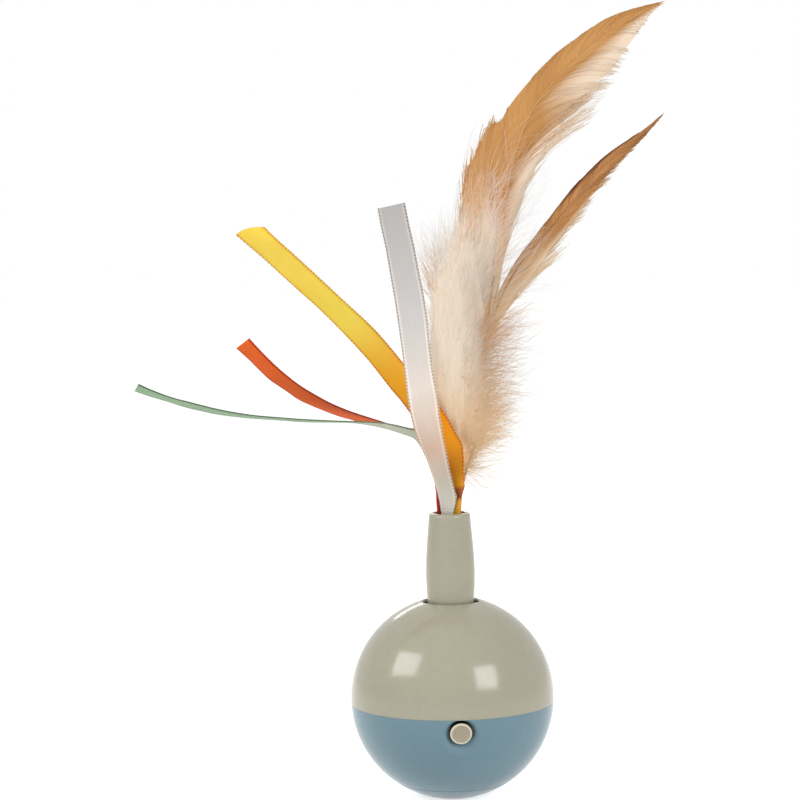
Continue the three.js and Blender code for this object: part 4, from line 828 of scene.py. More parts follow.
ribbon_edges = {
    "white": [
        (-2.3, -2.4, 78.5, 0.6, -4.3, 78.5),
        (-2.4, -2.6, 86.5, 0.8, -4.3, 86.5),
        (-2.7, -2.8, 94.5, 1.1, -4.3, 94.7),
        (-3.2, -2.8, 98.2, 1.8, -4.9, 98.4),
        (-3.7, -2.8, 101.0, 2.1, -5.5, 101.2),
        (-4.7, -2.9, 105.1, 1.2, -7.1, 105.8),
        (-5.7, -3.2, 108.2, 0.4, -8.9, 109.6),
        (-6.6, -3.7, 111.0, -0.2, -10.4, 113.0),
        (-7.4, -4.3, 113.7, -0.8, -11.4, 116.7),
        (-8.8, -5.3, 117.1, -1.4, -11.6, 120.0),
        (-10.1, -6.5, 120.6, -2.0, -11.8, 123.7),
        (-11.5, -8.1, 125.1, -2.8, -11.8, 128.6),
        (-12.6, -9.6, 130.5, -3.3, -12.0, 133.7),
        (-13.2, -10.2, 134.3, -3.7, -12.6, 136.9),
        (-13.9, -10.5, 140.9, -4.8, -13.7, 143.6),
        (-14.9, -11.3, 150.9, -5.8, -14.8, 153.2),
        (-15.9, -12.1, 159.1, -6.5, -15.1, 161.4),
        (-17.0, -12.5, 167.4, -7.6, -15.6, 169.3),
        (-18.3, -12.7, 175.6, -9.0, -16.1, 177.2),
        (-19.5, -12.9, 183.8, -10.5, -16.7, 185.7),
        (-20.9, -12.8, 191.0, -12.0, -17.0, 192.6),
        (-22.0, -12.8, 197.3, -13.2, -17.2, 199.2),
    ],
    "yellow": [
        (1.2, 0.2, 78.5, 3.6, -1.4, 78.5),
        (1.2, 0.2, 86.5, 3.7, -1.4, 86.5),
        (1.2, 0.2, 94.8, 3.8, -1.4, 95.2),
        (2.1, 0.3, 98.9, 4.0, -1.1, 99.3),
        (2.5, 0.4, 100.6, 4.1, -0.9, 101.0),
        (2.0, 0.6, 102.3, 4.7, -1.0, 102.8),
        (1.4, 1.0, 103.9, 5.1, -1.3, 104.5),
        (0.8, 1.6, 105.6, 4.9, -1.5, 106.3),
        (0.1, 3.0, 108.5, 4.8, -1.6, 109.2),
        (-0.6, 4.4, 111.4, 4.9, -1.6, 113.2),
        (-2.3, 5.2, 114.2, 4.4, -0.8, 118.4),
        (-5.0, 5.3, 117.6, 2.6, 0.1, 121.7),
        (-8.0, 5.0, 122.1, 0.0, 0.8, 126.7),
        (-11.6, 4.8, 127.2, -3.7, 1.1, 132.4),
        (-15.5, 5.0, 132.6, -8.1, 0.7, 138.0),
        (-19.1, 5.1, 137.0, -12.6, 0.2, 143.3),
        (-25.6, 4.9, 145.8, -19.1, -0.7, 151.5),
        (-32.1, 4.4, 153.3, -25.6, -1.2, 158.9),
        (-41.9, 3.9, 163.5, -35.7, -2.4, 168.8),
        (-48.4, 3.3, 169.8, -42.5, -3.1, 175.3),
        (-58.1, 2.2, 179.0, -51.8, -4.1, 184.2),
        (-64.2, 0.9, 184.6, -56.3, -4.0, 188.5),
        (-69.0, -0.9, 189.1, -59.4, -3.1, 191.6),
    ],
    "orange": [
        (-3.9, 1.2, 78.5, -3.2, -1.8, 78.5),
        (-3.9, 1.2, 86.5, -3.2, -1.8, 86.5),
        (-3.9, 1.2, 94.5, -3.1, -1.6, 94.5),
        (-3.9, 2.9, 97.9, -3.5, -0.8, 100.0),
        (-4.0, 7.1, 102.1, -4.0, 2.0, 105.2),
        (-5.8, 12.2, 110.2, -5.8, 4.5, 112.4),
        (-10.8, 14.1, 119.2, -10.5, 4.7, 120.7),
        (-16.1, 14.8, 121.9, -15.8, 4.8, 122.9),
        (-21.4, 14.5, 123.0, -19.6, 4.7, 124.8),
        (-27.4, 13.7, 124.1, -25.6, 4.1, 127.1),
        (-32.1, 13.0, 125.7, -30.2, 3.4, 128.8),
        (-36.7, 12.4, 127.2, -34.5, 2.9, 130.5),
        (-42.7, 11.5, 129.8, -40.1, 2.1, 133.1),
        (-49.4, 10.6, 133.0, -46.0, 1.5, 136.6),
        (-54.0, 10.0, 136.2, -50.2, 0.9, 139.6),
        (-59.2, 9.1, 139.9, -55.4, 0.4, 144.2),
        (-62.8, 8.5, 143.5, -58.7, -0.2, 147.5),
        (-65.9, 8.0, 146.9, -61.7, -0.8, 150.7),
        (-70.1, 7.2, 151.1, -65.4, -1.3, 154.8),
    ],
    "green": [
        (-1.2, 2.9, 78.5, -0.2, -0.8, 78.5),
        (-1.2, 2.9, 86.5, -0.2, -0.8, 86.5),
        (-1.2, 2.9, 94.5, -0.2, -0.8, 94.5),
        (-1.6, 2.5, 99.5, -0.4, -1.5, 99.2),
        (-3.0, 2.8, 104.5, -1.0, -2.9, 104.5),
        (-5.8, 3.1, 111.7, -3.3, -4.5, 112.2),
        (-9.4, 3.6, 117.5, -6.9, -6.0, 118.6),
        (-11.4, 2.8, 120.2, -9.7, -6.8, 123.5),
        (-14.7, 2.9, 121.6, -13.3, -6.9, 124.5),
        (-18.7, 2.9, 123.0, -17.6, -6.9, 125.6),
        (-23.3, 2.9, 124.2, -22.5, -6.9, 126.6),
        (-29.3, 3.0, 125.3, -28.8, -7.0, 127.1),
        (-35.9, 3.0, 126.0, -35.6, -7.0, 127.4),
        (-42.6, 3.0, 126.2, -42.3, -7.0, 127.7),
        (-49.2, 3.0, 126.5, -48.9, -7.0, 128.1),
        (-55.9, 3.0, 127.0, -55.5, -7.0, 128.8),
        (-65.9, 3.0, 127.8, -65.2, -7.0, 130.0),
        (-75.8, 2.9, 129.3, -74.9, -6.9, 131.7),
        (-82.5, 2.9, 130.8, -81.4, -6.9, 133.3),
        (-87.4, 2.9, 132.0, -86.2, -6.9, 134.7),
        (-92.4, 2.9, 133.6, -90.9, -6.9, 136.1),
        (-99.0, 2.9, 135.7, -97.1, -6.9, 138.6),
        (-104.1, 2.8, 137.7, -101.9, -6.8, 140.8),
    ],
}

# How far the cut end of each ribbon bows out
ribbon_bows = {"white": 0.0, "yellow": 1.3, "orange": 0.0, "green": 0.0}


def thin_sheet(name, grid, normals, thickness, uvs, tone=None):
    """A closed sheet on a grid of points, with its rows along the sheet.

    The two faces lie half the thickness to each side of the grid, and meet in long edges one point wide."""
    steps, across = grid.shape[:2]
    order = np.concatenate([np.arange(across), np.arange(across - 2, 0, -1)])
    side = np.concatenate([np.zeros(1), np.ones(across - 2), np.zeros(1), -np.ones(across - 2)])
    points = grid[:, order] + normals[:, order] * (side * thickness / 2)[None, :, None]
    count = len(order)
    ends = np.stack([np.arange(count)[::-1], (steps - 1) * count + np.arange(count)])
    tones = None if tone is None else tone[:, order].ravel()
    faces = [grid_faces(steps, count, False, True), ends]
    sheet = new_piece(name, points.reshape(-1, 3), faces, uvs[:, order].reshape(-1, 2), tones)
    return close_up(sheet, 60, join=False)


def ribbon(name, edges, bow, across=12, steps=760):
    """A closed strip between two smooth edge curves.

    At u across, from -1 to 1, a point is the middle plus u times the half width, lifted along the normal by
    cup (1 - u^2 - 1/3), where cup is 0.55 e^(-((s - 0.2) / 0.16)^2) + 0.12 at the share s of the length, and
    by a slow ripple of 0.1 mm. The last rows bow out by bow (1 - u^2) along the strip. Small loops,
    PICOT_PITCH apart, push each edge out by up to a 45th of half the width."""
    rows = spline(edges, steps)
    left, right = rows[:, :3], rows[:, 3:]
    middle, half = (left + right) / 2, (right - left) / 2
    along = np.gradient(middle, axis=0)
    along /= np.linalg.norm(along, axis=1)[:, None]
    normal = np.cross(half, along)
    normal /= np.linalg.norm(normal, axis=1)[:, None]
    run = np.concatenate([[0], np.cumsum(np.linalg.norm(np.diff(middle, axis=0), axis=1))])
    share = run / run[-1]
    u = np.cos(np.linspace(math.pi, 0, across))
    cup = 0.55 * np.exp(-(((share - 0.2) / 0.16) ** 2)) + 0.12
    ripple = 0.10 * np.sin(run[:, None] / 5.3 + 1.3 * u) * np.clip(share[:, None] / 0.1 - 2, 0, 1)
    lift = cup[:, None] * (1 - u**2 - 1 / 3) + ripple
    reach = bow * np.clip((share - 0.97) / 0.03, 0, 1)[:, None] * (1 - u**2)
    loops = 1 + (np.abs(u) > 0.99) * (1 + np.sin(TURN * run[:, None] / PICOT_PITCH)) / 90
    grid = (
        middle[:, None]
        + half[:, None] * (u * loops)[:, :, None]
        + normal[:, None] * lift[:, :, None]
        + along[:, None] * reach[:, :, None]
    )
    flat_u = (u + 1) / 2 * RIBBON_WIDTH + np.zeros((steps, 1))
    flat_v = run[:, None] + np.zeros((1, across))
    uvs = np.stack([flat_u, flat_v], axis=-1)
    normals = np.repeat(normal[:, None], across, axis=1)
    strip = thin_sheet(f"{name}_satin_ribbon", grid, normals, RIBBON_THICKNESS, uvs)
    return strip, float(run[-1])


for name, edges in ribbon_edges.items():
    strip, length = ribbon(name, edges, ribbon_bows[name])
    place(strip, "turret", f"{name}_satin", f"{name}_ribbon")


# Feathers and down


def tubes(name, paths, widths, heights, tilt=0.0, sides=3, uvs=None, tone=None):
    """Many closed tapering tubes in one mesh, one for each path of points.

    At each point the section is a polygon with corners at angles a: side cos(a) width/2 + face sin(a)
    height/2, where side is square to the path and to the depth of the picture, turned by tilt about the
    path, and face is square to both. uvs has a row for each point of a path, and tone one for each tube."""
    paths = np.asarray(paths, float)
    count, steps = paths.shape[:2]
    along = np.gradient(paths, axis=1)
    along /= np.maximum(np.linalg.norm(along, axis=2, keepdims=True), 1e-9)
    depth = np.array([0.05, -1.0, 0.08])
    side = np.cross(along, depth)
    side /= np.maximum(np.linalg.norm(side, axis=2, keepdims=True), 1e-9)
    face = np.cross(side, along)
    tilt = np.broadcast_to(np.asarray(tilt, float), (count,))[:, None, None]
    side, face = side * np.cos(tilt) + face * np.sin(tilt), face * np.cos(tilt) - side * np.sin(tilt)
    widths = np.broadcast_to(widths, (count, steps))[:, :, None, None]
    heights = np.broadcast_to(heights, (count, steps))[:, :, None, None]
    angles = even_angles(sides) + TURN / 4
    points = (
        paths[:, :, None]
        + side[:, :, None] * np.cos(angles)[:, None] * widths / 2
        + face[:, :, None] * np.sin(angles)[:, None] * heights / 2
    )
    ring = grid_faces(steps, sides, False, True)
    first = (np.arange(count) * steps * sides)[:, None, None]
    walls = (first + ring[None]).reshape(-1, 4)
    start = first[:, 0] + np.arange(sides)[None, ::-1]
    end = first[:, 0] + (steps - 1) * sides + np.arange(sides)[None]
    if uvs is not None:
        uvs = np.repeat(uvs.reshape(-1, 2), sides, axis=0)
        tone = np.repeat(tone, steps * sides)
    return new_piece(name, points.reshape(-1, 3), [walls, start, end], uvs, tone)


def barb_paths(shaft, guides, count, rng, bow, foot, jitter, pale, sway=1.0, steps=9):
    """Paths of barbs between given guides, as quadratic curves from the shaft.

    A guide is a start, a middle and a tip, as (x, z) pairs. Barb k takes its guide from the smooth curve
    through them, and is (1-t)^2 p0 + 2 t (1-t) c + t^2 p1, with c = 2 pm - (p0 + p1) / 2. Clumps of barbs
    share one shift of the tip, so that the edge splits as a real vane's does. The depth adds bow t^2 for
    each 12 mm of the barb's length. jitter and pale are values spaced evenly along the feather, and sway
    multiplies jitter. The map's u is t times pale, and its v is the height over the foot as a share of
    FEATHER_RISE. Each barb's tone is 0.66 plus slow waves up the feather and a small draw of its own."""
    rows = spline(np.asarray(guides, float).reshape(len(guides), -1), count).reshape(count, 3, 2)
    shaft = spline(shaft, 400)
    depth = np.interp(rows[:, 0, 1], shaft[:, 2], shaft[:, 1])
    order = np.linspace(0, 1, count)
    jitter = np.interp(order, np.linspace(0, 1, len(jitter)), jitter)[:, None] * sway
    pale = np.interp(order, np.linspace(0, 1, len(pale)), pale)[:, None]
    clump = np.cumsum(rng.random(count) < 0.07)
    shift = rng.normal(0, 1, (clump.max() + 1, 3))[clump]
    single = rng.normal(0, 1, (count, 3))
    span = np.linalg.norm(rows[:, 2] - rows[:, 0], axis=1)[:, None]
    reach = 1 + jitter * (0.5 * shift[:, :1] + 0.7 * single[:, :1])
    start = rows[:, 0]
    tip = start + (rows[:, 2] - start) * reach
    middle = start + (rows[:, 1] - start) * reach
    tip = tip + span * jitter * (0.45 * shift[:, 1:] + 0.2 * single[:, 1:])
    control = 2 * middle - (start + tip) / 2
    t = np.linspace(0, 1, steps)[None, :, None]
    flat = (1 - t) ** 2 * start[:, None] + 2 * t * (1 - t) * control[:, None] + t**2 * tip[:, None]
    sag = depth[:, None] + bow * t[:, :, 0] ** 2 * (span / 12) + 0.12 * sway * single[:, :1] * t[:, :, 0]
    paths = np.stack([flat[:, :, 0], sag, flat[:, :, 1]], axis=-1)
    along = pale * np.linspace(0, 1, steps)
    up = (paths[:, :, 2] - foot) / FEATHER_RISE
    # Slow waves of tone up the feather: painted shade of the vane's folds
    painted_fold_shade = 0.14 * np.sin(17 * order + 2.0 * np.sin(9 * order))
    tone = np.clip(0.66 + painted_fold_shade + 0.1 * single[:, 2] + 0.06 * shift[:, 2], 0, 1)
    return paths, np.stack([along, up], axis=-1), tone


def vane(name, shaft, sides, count, width, rng, bow, foot, jitters, pales):
    """Both sides of a vane as one piece: thin overlapping barbs, width (1 - 0.72 t^2) wide at t."""
    parts = [
        barb_paths(shaft, guides, count, rng, bow, foot, jitter, pale)
        for guides, jitter, pale in zip(sides, jitters, pales)
    ]
    paths, uvs, tone = (np.concatenate(group) for group in zip(*parts))
    t = np.linspace(0, 1, paths.shape[1])
    widths = width * (1 - 0.72 * t**2)
    heights = BARB_THICKNESS * (1 - 0.5 * t)
    tilt = np.repeat([0.1, -0.1], count)
    return tubes(name, paths, widths, heights, tilt, 3, uvs, tone)


def web(name, shaft, guides, rng, bow, foot, pale, reach, rows=420, across=14):
    """The close sheet of one side of a vane, where the barbs hook together, out to reach of their length.

    Its rows are barbs without jitter, resampled to t = 0 to reach. With s the share of the way up the
    feather, small scallops of 0.05 |sin(31 s^1.3)| are left out where reach is under 0.95."""
    spans = 40
    paths, uvs, tone = barb_paths(shaft, guides, rows, rng, bow, foot, (0.0, 0.0), pale, 0.0, spans + 1)
    share = np.linspace(0, 1, rows)
    edge = np.interp(share, np.linspace(0, 1, len(reach)), reach)
    edge = edge - 0.05 * np.abs(np.sin(31 * share**1.3)) * (edge < 0.95)
    where = edge[:, None] * np.linspace(0, 1, across) * spans
    column = np.minimum(where.astype(int), spans - 1)
    part = (where - column)[:, :, None]
    pick = np.arange(rows)[:, None]
    grid = paths[pick, column] * (1 - part) + paths[pick, column + 1] * part
    flat = uvs[pick, column] * (1 - part) + uvs[pick, column + 1] * part
    normals = np.zeros_like(grid) + np.array([0.0, -1.0, 0.0])
    tones = np.repeat(tone[:, None], across, axis=1)
    return thin_sheet(name, grid, normals, WEB_THICKNESS, flat, tones)


def shaft_tube(name, route, radii):
    """A round tapering tube along a smooth route, with the radii spaced evenly along it."""
    steps = 90
    width = 2 * np.interp(np.linspace(0, 1, steps), np.linspace(0, 1, len(radii)), radii)
    return tubes(name, spline(route, steps)[None], width, width, 0.0, 10)


tan_shaft = [
    (2.2, 2.3, 78.5),
    (2.2, 2.3, 88.0),
    (2.2, 2.4, 95.0),
    (3.3, 5.9, 102.2),
    (5.8, 7.8, 111.4),
    (9.3, 9.1, 128.8),
    (12.6, 9.2, 148.8),
    (15.6, 9.3, 168.9),
    (17.8, 9.4, 185.5),
    (20.4, 9.4, 200.5),
    (24.2, 9.5, 215.3),
    (29.4, 9.5, 227.8),
    (36.2, 9.6, 237.0),
    (44.6, 9.6, 245.1),
    (54.3, 9.6, 252.8),
    (64.3, 9.7, 258.9),
    (73.4, 9.7, 263.1),
]
tan_right = [
    ((11.9, 143.7), (16.9, 165.5), (20.5, 187.1)),
    ((13.7, 157.1), (19.4, 180.5), (25.4, 202.0)),
    ((16.3, 173.8), (22.3, 193.8), (32.2, 213.5)),
    ((17.5, 182.2), (25.1, 206.0), (48.4, 225.4)),
    ((18.6, 190.5), (26.5, 211.0), (50.4, 229.1)),
    ((19.7, 196.5), (26.9, 213.6), (49.1, 231.1)),
    ((21.4, 204.8), (29.3, 219.2), (46.8, 231.8)),
    ((24.3, 215.3), (32.4, 226.8), (51.4, 233.7)),
    ((26.7, 222.6), (35.1, 231.7), (54.5, 236.7)),
    ((30.1, 228.8), (39.9, 237.3), (56.5, 239.3)),
    ((35.5, 236.3), (46.6, 242.8), (58.9, 243.2)),
    ((41.2, 242.2), (51.9, 247.3), (60.9, 247.1)),
    ((48.6, 248.7), (57.0, 251.8), (63.9, 251.4)),
    ((56.7, 254.5), (62.7, 256.7), (67.6, 256.9)),
    ((66.0, 259.9), (68.7, 260.8), (71.3, 261.1)),
    ((71.0, 262.4), (72.3, 262.7), (74.0, 263.0)),
]
tan_left = [
    ((11.9, 143.7), (8.1, 162.3), (6.1, 182.4)),
    ((13.4, 153.8), (7.7, 175.7), (6.0, 196.4)),
    ((14.9, 165.5), (8.5, 189.0), (7.5, 208.3)),
    ((16.4, 175.5), (10.0, 199.0), (9.9, 213.9)),
    ((17.5, 182.2), (12.1, 205.6), (13.7, 220.8)),
    ((18.6, 189.5), (14.5, 209.5), (16.7, 225.1)),
    ((20.0, 198.8), (17.9, 213.8), (19.1, 225.0)),
    ((22.2, 208.1), (20.3, 218.7), (21.8, 229.3)),
    ((24.6, 216.3), (23.1, 225.3), (25.9, 234.5)),
    ((28.1, 225.2), (27.5, 232.8), (32.6, 241.7)),
    ((32.8, 233.1), (33.6, 240.0), (39.3, 247.8)),
    ((39.2, 240.2), (41.0, 246.5), (46.7, 253.3)),
    ((47.0, 247.4), (49.3, 252.6), (55.0, 258.3)),
    ((56.0, 254.1), (58.4, 257.7), (63.4, 261.3)),
    ((65.0, 259.2), (66.7, 260.9), (70.0, 262.8)),
    ((71.0, 262.4), (72.3, 263.1), (74.3, 263.7)),
]
brown_shaft = [
    (3.4, 1.5, 78.5),
    (3.3, 1.5, 88.0),
    (3.1, 1.6, 95.0),
    (4.2, 4.8, 102.3),
    (7.3, 8.5, 113.7),
    (10.0, 11.8, 128.5),
    (11.6, 13.2, 141.8),
    (14.2, 14.2, 155.2),
    (18.4, 14.5, 165.2),
    (23.5, 14.5, 174.5),
    (30.0, 14.5, 182.8),
    (37.5, 14.5, 191.7),
    (46.3, 14.5, 201.2),
    (55.8, 14.5, 211.4),
    (64.9, 14.5, 219.3),
    (73.4, 14.5, 226.1),
]
brown_left = [
    ((13.5, 152.5), (14.2, 158.5), (17.3, 161.8)),
    ((15.6, 159.2), (17.0, 165.2), (21.5, 171.5)),
    ((19.1, 167.2), (20.5, 172.5), (25.6, 178.5)),
    ((22.8, 173.8), (24.3, 178.5), (29.0, 183.5)),
    ((28.0, 180.5), (29.0, 184.5), (33.8, 189.4)),
    ((33.1, 186.4), (34.1, 190.7), (38.6, 195.7)),
    ((38.2, 192.0), (38.9, 196.4), (42.7, 201.6)),
    ((42.9, 197.3), (43.7, 201.3), (48.1, 207.2)),
    ((48.4, 203.5), (49.4, 207.2), (53.8, 212.5)),
    ((54.1, 209.8), (55.5, 213.1), (60.2, 217.0)),
    ((60.5, 215.3), (62.2, 217.6), (67.0, 220.9)),
    ((67.6, 221.2), (69.3, 222.8), (72.7, 225.4)),
    ((72.0, 225.1), (73.0, 225.8), (74.0, 226.8)),
]
brown_right = [
    ((13.1, 150.1), (16.5, 156.2), (20.4, 162.1)),
    ((14.2, 155.2), (19.0, 161.1), (25.0, 166.6)),
    ((16.3, 160.9), (22.2, 166.7), (31.2, 173.8)),
    ((19.1, 166.9), (26.8, 172.2), (37.9, 179.8)),
    ((22.2, 172.2), (29.8, 177.2), (38.9, 182.5)),
    ((26.6, 178.5), (33.9, 182.5), (42.3, 187.5)),
    ((31.7, 184.4), (39.0, 188.8), (46.4, 193.4)),
    ((36.5, 190.0), (43.8, 194.7), (49.8, 198.7)),
    ((40.9, 195.3), (47.9, 199.7), (53.2, 203.0)),
    ((45.7, 200.6), (52.6, 205.6), (57.3, 208.6)),
    ((51.1, 206.5), (56.9, 210.3), (61.9, 213.7)),
    ((56.8, 212.4), (61.4, 214.8), (65.8, 217.4)),
    ((63.2, 217.6), (66.9, 219.6), (70.0, 222.1)),
    ((70.0, 223.2), (71.7, 224.5), (73.7, 226.1)),
]

# For each feather, left side then right, from the quill up: how much the barbs split, how far along the
# barb the colour pales, and how far out the close sheet goes
tan_jitters = ((0.05, 0.04, 0.015, 0.01, 0.01), (0.08, 0.08, 0.07, 0.05, 0.02))
tan_pales = (
    (0.3, 0.3, 0.3, 0.3, 0.3),
    (1.2, 1.2, 1.5, 1.7, 1.4, 0.85, 0.8, 0.95, 1.2, 1.3, 1.3, 1.3, 1.3, 1.2, 1.0, 0.9),
)
tan_reach = ((0.9, 0.94, 1.0, 1.0, 1.0), (0.6, 0.75, 0.9, 0.95, 0.98, 1.0))
brown_jitters = ((0.05, 0.03, 0.02, 0.02), (0.1, 0.1, 0.08, 0.03))
brown_pales = ((0.5, -0.7, -1.0, -0.9, -0.5), (1.6, 1.3, 0.9, 0.3))
brown_reach = ((0.8, 0.95, 1.0, 1.0), (0.6, 0.75, 0.9, 1.0))
# Each feather: its shaft's route and radii, its sides, the tables above, then how far the barbs bow back, the
# height at which the pale foot starts, the number of barbs on a side and their width
feathers = {
    "tan": (
        tan_shaft,
        (0.35, 0.5, 0.5, 0.36, 0.26, 0.2, 0.15, 0.1, 0.06),
        (tan_left, tan_right),
        (tan_jitters, tan_pales, tan_reach),
        (1.0, 160.0, 520, 0.5),
    ),
    "brown": (
        brown_shaft,
        (0.35, 0.5, 0.4, 0.28, 0.22, 0.18, 0.14, 0.06),
        (brown_left, brown_right),
        (brown_jitters, brown_pales, brown_reach),
        (0.8, 150.0, 380, 0.42),
    ),
}
draws = np.random.default_rng(11)
for name, (route, radii, sides, (jitters, pales, reaches), barbs) in feathers.items():
    bow, foot, count, width = barbs
    slot = f"{name}_barbs"
    piece = shaft_tube(f"{name}_feather_shaft", route, radii)
    place(piece, "turret", slot, f"{name}_feather", look=f"{name}_shaft")
    piece = vane(f"{name}_feather_vane", route, sides, count, width, draws, bow, foot, jitters, pales)
    place(piece, "turret", slot).visible_shadow = False
    for side, guides, pale, reach in zip(("left", "right"), sides, pales, reaches):
        piece = web(f"{name}_feather_web_{side}", route, guides, draws, bow, foot, pale, reach)
        place(piece, "turret", slot)


# Down. The core's rows are the middle, then half its width and half its depth
plume_core = [
    (0.9, 2.9, 79.0, 0.5, 0.5),
    (0.9, 2.9, 95.0, 0.5, 0.5),
    (3.2, 4.2, 104.0, 0.7, 0.7),
    (4.3, 4.9, 111.0, 1.8, 1.3),
    (4.6, 5.3, 119.0, 4.6, 2.2),
    (4.0, 5.4, 128.0, 7.2, 3.0),
    (3.5, 5.4, 140.0, 8.2, 3.4),
    (3.5, 5.4, 155.0, 8.6, 3.4),
    (3.7, 5.4, 168.0, 8.2, 3.2),
    (4.7, 5.6, 178.0, 6.2, 2.4),
    (6.0, 6.2, 186.0, 3.2, 1.2),
    (7.6, 6.8, 193.0, 0.5, 0.4),
]


def plume_body(steps=150, around=44):
    """The dense middle of the down: a closed body of ovals, x = width cos a and y = depth sin a.

    Slow waves up and round it, of a few tenths of a millimetre, are its soft locks."""
    rows = spline(plume_core, steps)
    a = even_angles(around)
    wave = 1 + 0.05 * np.sin(5 * a + rows[:, 2:3] / 4) + 0.04 * np.sin(9 * a - rows[:, 2:3] / 2.7)
    points = np.stack(
        [
            rows[:, 0:1] + rows[:, 3:4] * wave * np.cos(a),
            rows[:, 1:2] + rows[:, 4:5] * wave * np.sin(a),
            rows[:, 2:3] + 0 * a,
        ],
        axis=-1,
    )
    ends = np.stack([np.arange(around)[::-1], (steps - 1) * around + np.arange(around)])
    up = np.repeat(np.clip((rows[:, 2:3] - PLUME_FOOT) / PLUME_RISE, 0, 1), around, axis=1)
    uvs = np.stack([0.3 + 0 * up, up], axis=-1).reshape(-1, 2)
    faces = [grid_faces(steps, around, False, True), ends]
    piece = new_piece("down_plume_body", points.reshape(-1, 3), faces, uvs, np.full(steps * around, 0.85))
    return close_up(piece, 70)


# Each family of strands: how many, their width in mm and how far they pale, then the ranges of x, y and z at
# the root, of the way to the tip in x and z, of the bend as a share of the way, and of the tone
strand_families = {
    "front_locks": (
        (420, 0.16, 1.0),
        [(-4.0, 9.5), (1.7, 2.8), (118, 178), (-2.5, 3.0), (8, 17), (-0.12, 0.12), (0.85, 1.0)],
    ),
    "back_locks": (
        (300, 0.22, 1.0),
        [(-4.0, 9.5), (8.0, 9.4), (118, 178), (-2.5, 3.0), (8, 17), (-0.12, 0.12), (0.75, 1.0)],
    ),
    "left_hairs": (
        (260, 0.15, 1.2),
        [(-4.6, -1.5), (3.0, 7.5), (116, 182), (-6.0, -1.0), (5, 15), (-0.2, 0.25), (0.75, 1.0)],
    ),
    "left_foot": (
        (160, 0.17, 1.0),
        [(0.5, 4.5), (3.5, 6.5), (110, 130), (-8.0, -2.0), (10, 22), (0.0, 0.3), (0.6, 1.0)],
    ),
    "right_fluff": (
        (1300, 0.15, 0.5),
        [(4.0, 11.0), (2.0, 9.0), (116, 158), (4.0, 18.0), (-4, 14), (-0.3, 0.25), (0.0, 0.9)],
    ),
    "right_foot": (
        (520, 0.15, 0.5),
        [(3.5, 8.0), (3.0, 8.0), (109, 128), (3.0, 17.0), (0, 15), (-0.35, 0.1), (0.0, 0.8)],
    ),
    "right_veil": (
        (520, 0.15, 1.0),
        [(5.0, 10.5), (1.4, 3.2), (116, 174), (1.5, 7.0), (4, 14), (-0.25, 0.1), (0.7, 1.0)],
    ),
    "far_wisps": (
        (200, 0.11, 1.0),
        [(9.0, 13.0), (3.0, 9.0), (130, 160), (12.0, 27.0), (-6, 16), (-0.3, 0.3), (0.6, 1.0)],
    ),
    "tan_wisps": (
        (64, 0.14, 0.4),
        [(10.5, 12.6), (2.0, 4.5), (146, 158), (6.0, 22.0), (0, 21), (-0.28, 0.02), (0.0, 0.35)],
    ),
    "low_wisps": (
        (110, 0.09, 1.1),
        [(3.6, 5.4), (3.0, 6.0), (108, 113), (4.0, 20.0), (-12, 6), (-0.3, 0.3), (0.7, 1.0)],
    ),
    "left_tuft": (
        (40, 0.12, 0.6),
        [(-6.0, -3.0), (2.5, 5.0), (165, 177), (-5.5, -2.5), (6, 15), (-0.15, 0.1), (0.1, 0.6)],
    ),
    "crown": (
        (720, 0.18, 0.95),
        [(2.5, 14.0), (3.0, 8.0), (164, 188), (1.0, 6.0), (10, 24), (-0.1, 0.1), (0.65, 0.95)],
    ),
    "crown_tan": (
        (110, 0.17, 0.15),
        [(5.5, 12.5), (3.0, 7.0), (184, 202), (1.5, 5.5), (10, 24), (-0.12, 0.05), (0.0, 0.25)],
    ),
    "crown_left": (
        (160, 0.15, 1.0),
        [(-2.0, 6.0), (3.0, 6.0), (168, 184), (-3.0, 3.0), (8, 16), (-0.15, 0.15), (0.75, 1.0)],
    ),
    "side_wisps": (
        (230, 0.13, 1.1),
        [(13.0, 18.0), (6.0, 9.5), (165, 205), (3.0, 20.0), (4, 26), (-0.3, 0.2), (0.5, 0.95)],
    ),
}


def strands(name, families, rng, steps=7):
    """Fine tapering strands: root + t way + 4 t (1 - t) bend times a vector square to the way, plus a waver.

    The way's depth is a normal draw of 1.2 mm. The waver is 0.25 t sin(a t + b) mm, with a from 5 to 10 and b
    any angle. A strand is (1 - 0.75 t) times its width, and up to 30 % wider or narrower than its family."""
    paths, uvs, tone, width = [], [], [], []
    t = np.linspace(0, 1, steps)
    for (count, wide, pale), ranges in families.values():
        low_end, high_end = np.array(ranges).T
        draw = low_end + (high_end - low_end) * rng.random((count, len(ranges)))
        root = draw[:, :3]
        way = np.stack([draw[:, 3], rng.normal(0, 1.2, count), draw[:, 4]], axis=-1)
        across = np.stack([way[:, 2], 0 * way[:, 1], -way[:, 0]], axis=-1) * draw[:, 5:6]
        waver = 0.25 * np.sin(t * (5 + 5 * rng.random((count, 1))) + TURN * rng.random((count, 1))) * t
        path = root[:, None] + way[:, None] * t[:, None] + across[:, None] * (4 * t * (1 - t))[:, None]
        path = path + waver[:, :, None] * np.array([1.0, 0.6, 0.3])
        paths.append(path)
        up = np.repeat(np.clip((root[:, 2:] - PLUME_FOOT) / PLUME_RISE, 0, 1), steps, axis=1)
        uvs.append(np.stack([np.repeat(t[None] * pale, count, axis=0), up], axis=-1))
        tone.append(draw[:, 6])
        width.append(wide * (1 - 0.75 * t) * (0.7 + 0.6 * rng.random((count, 1))))
    width = np.concatenate(width)
    return tubes(name, np.concatenate(paths), width, width, 0.0, 3, np.concatenate(uvs), np.concatenate(tone))


place(plume_body(), "turret", "down", "down_plume", look="down_middle")
piece = strands("down_plume_strands", strand_families, np.random.default_rng(13))
place(piece, "turret", "down").visible_shadow = False


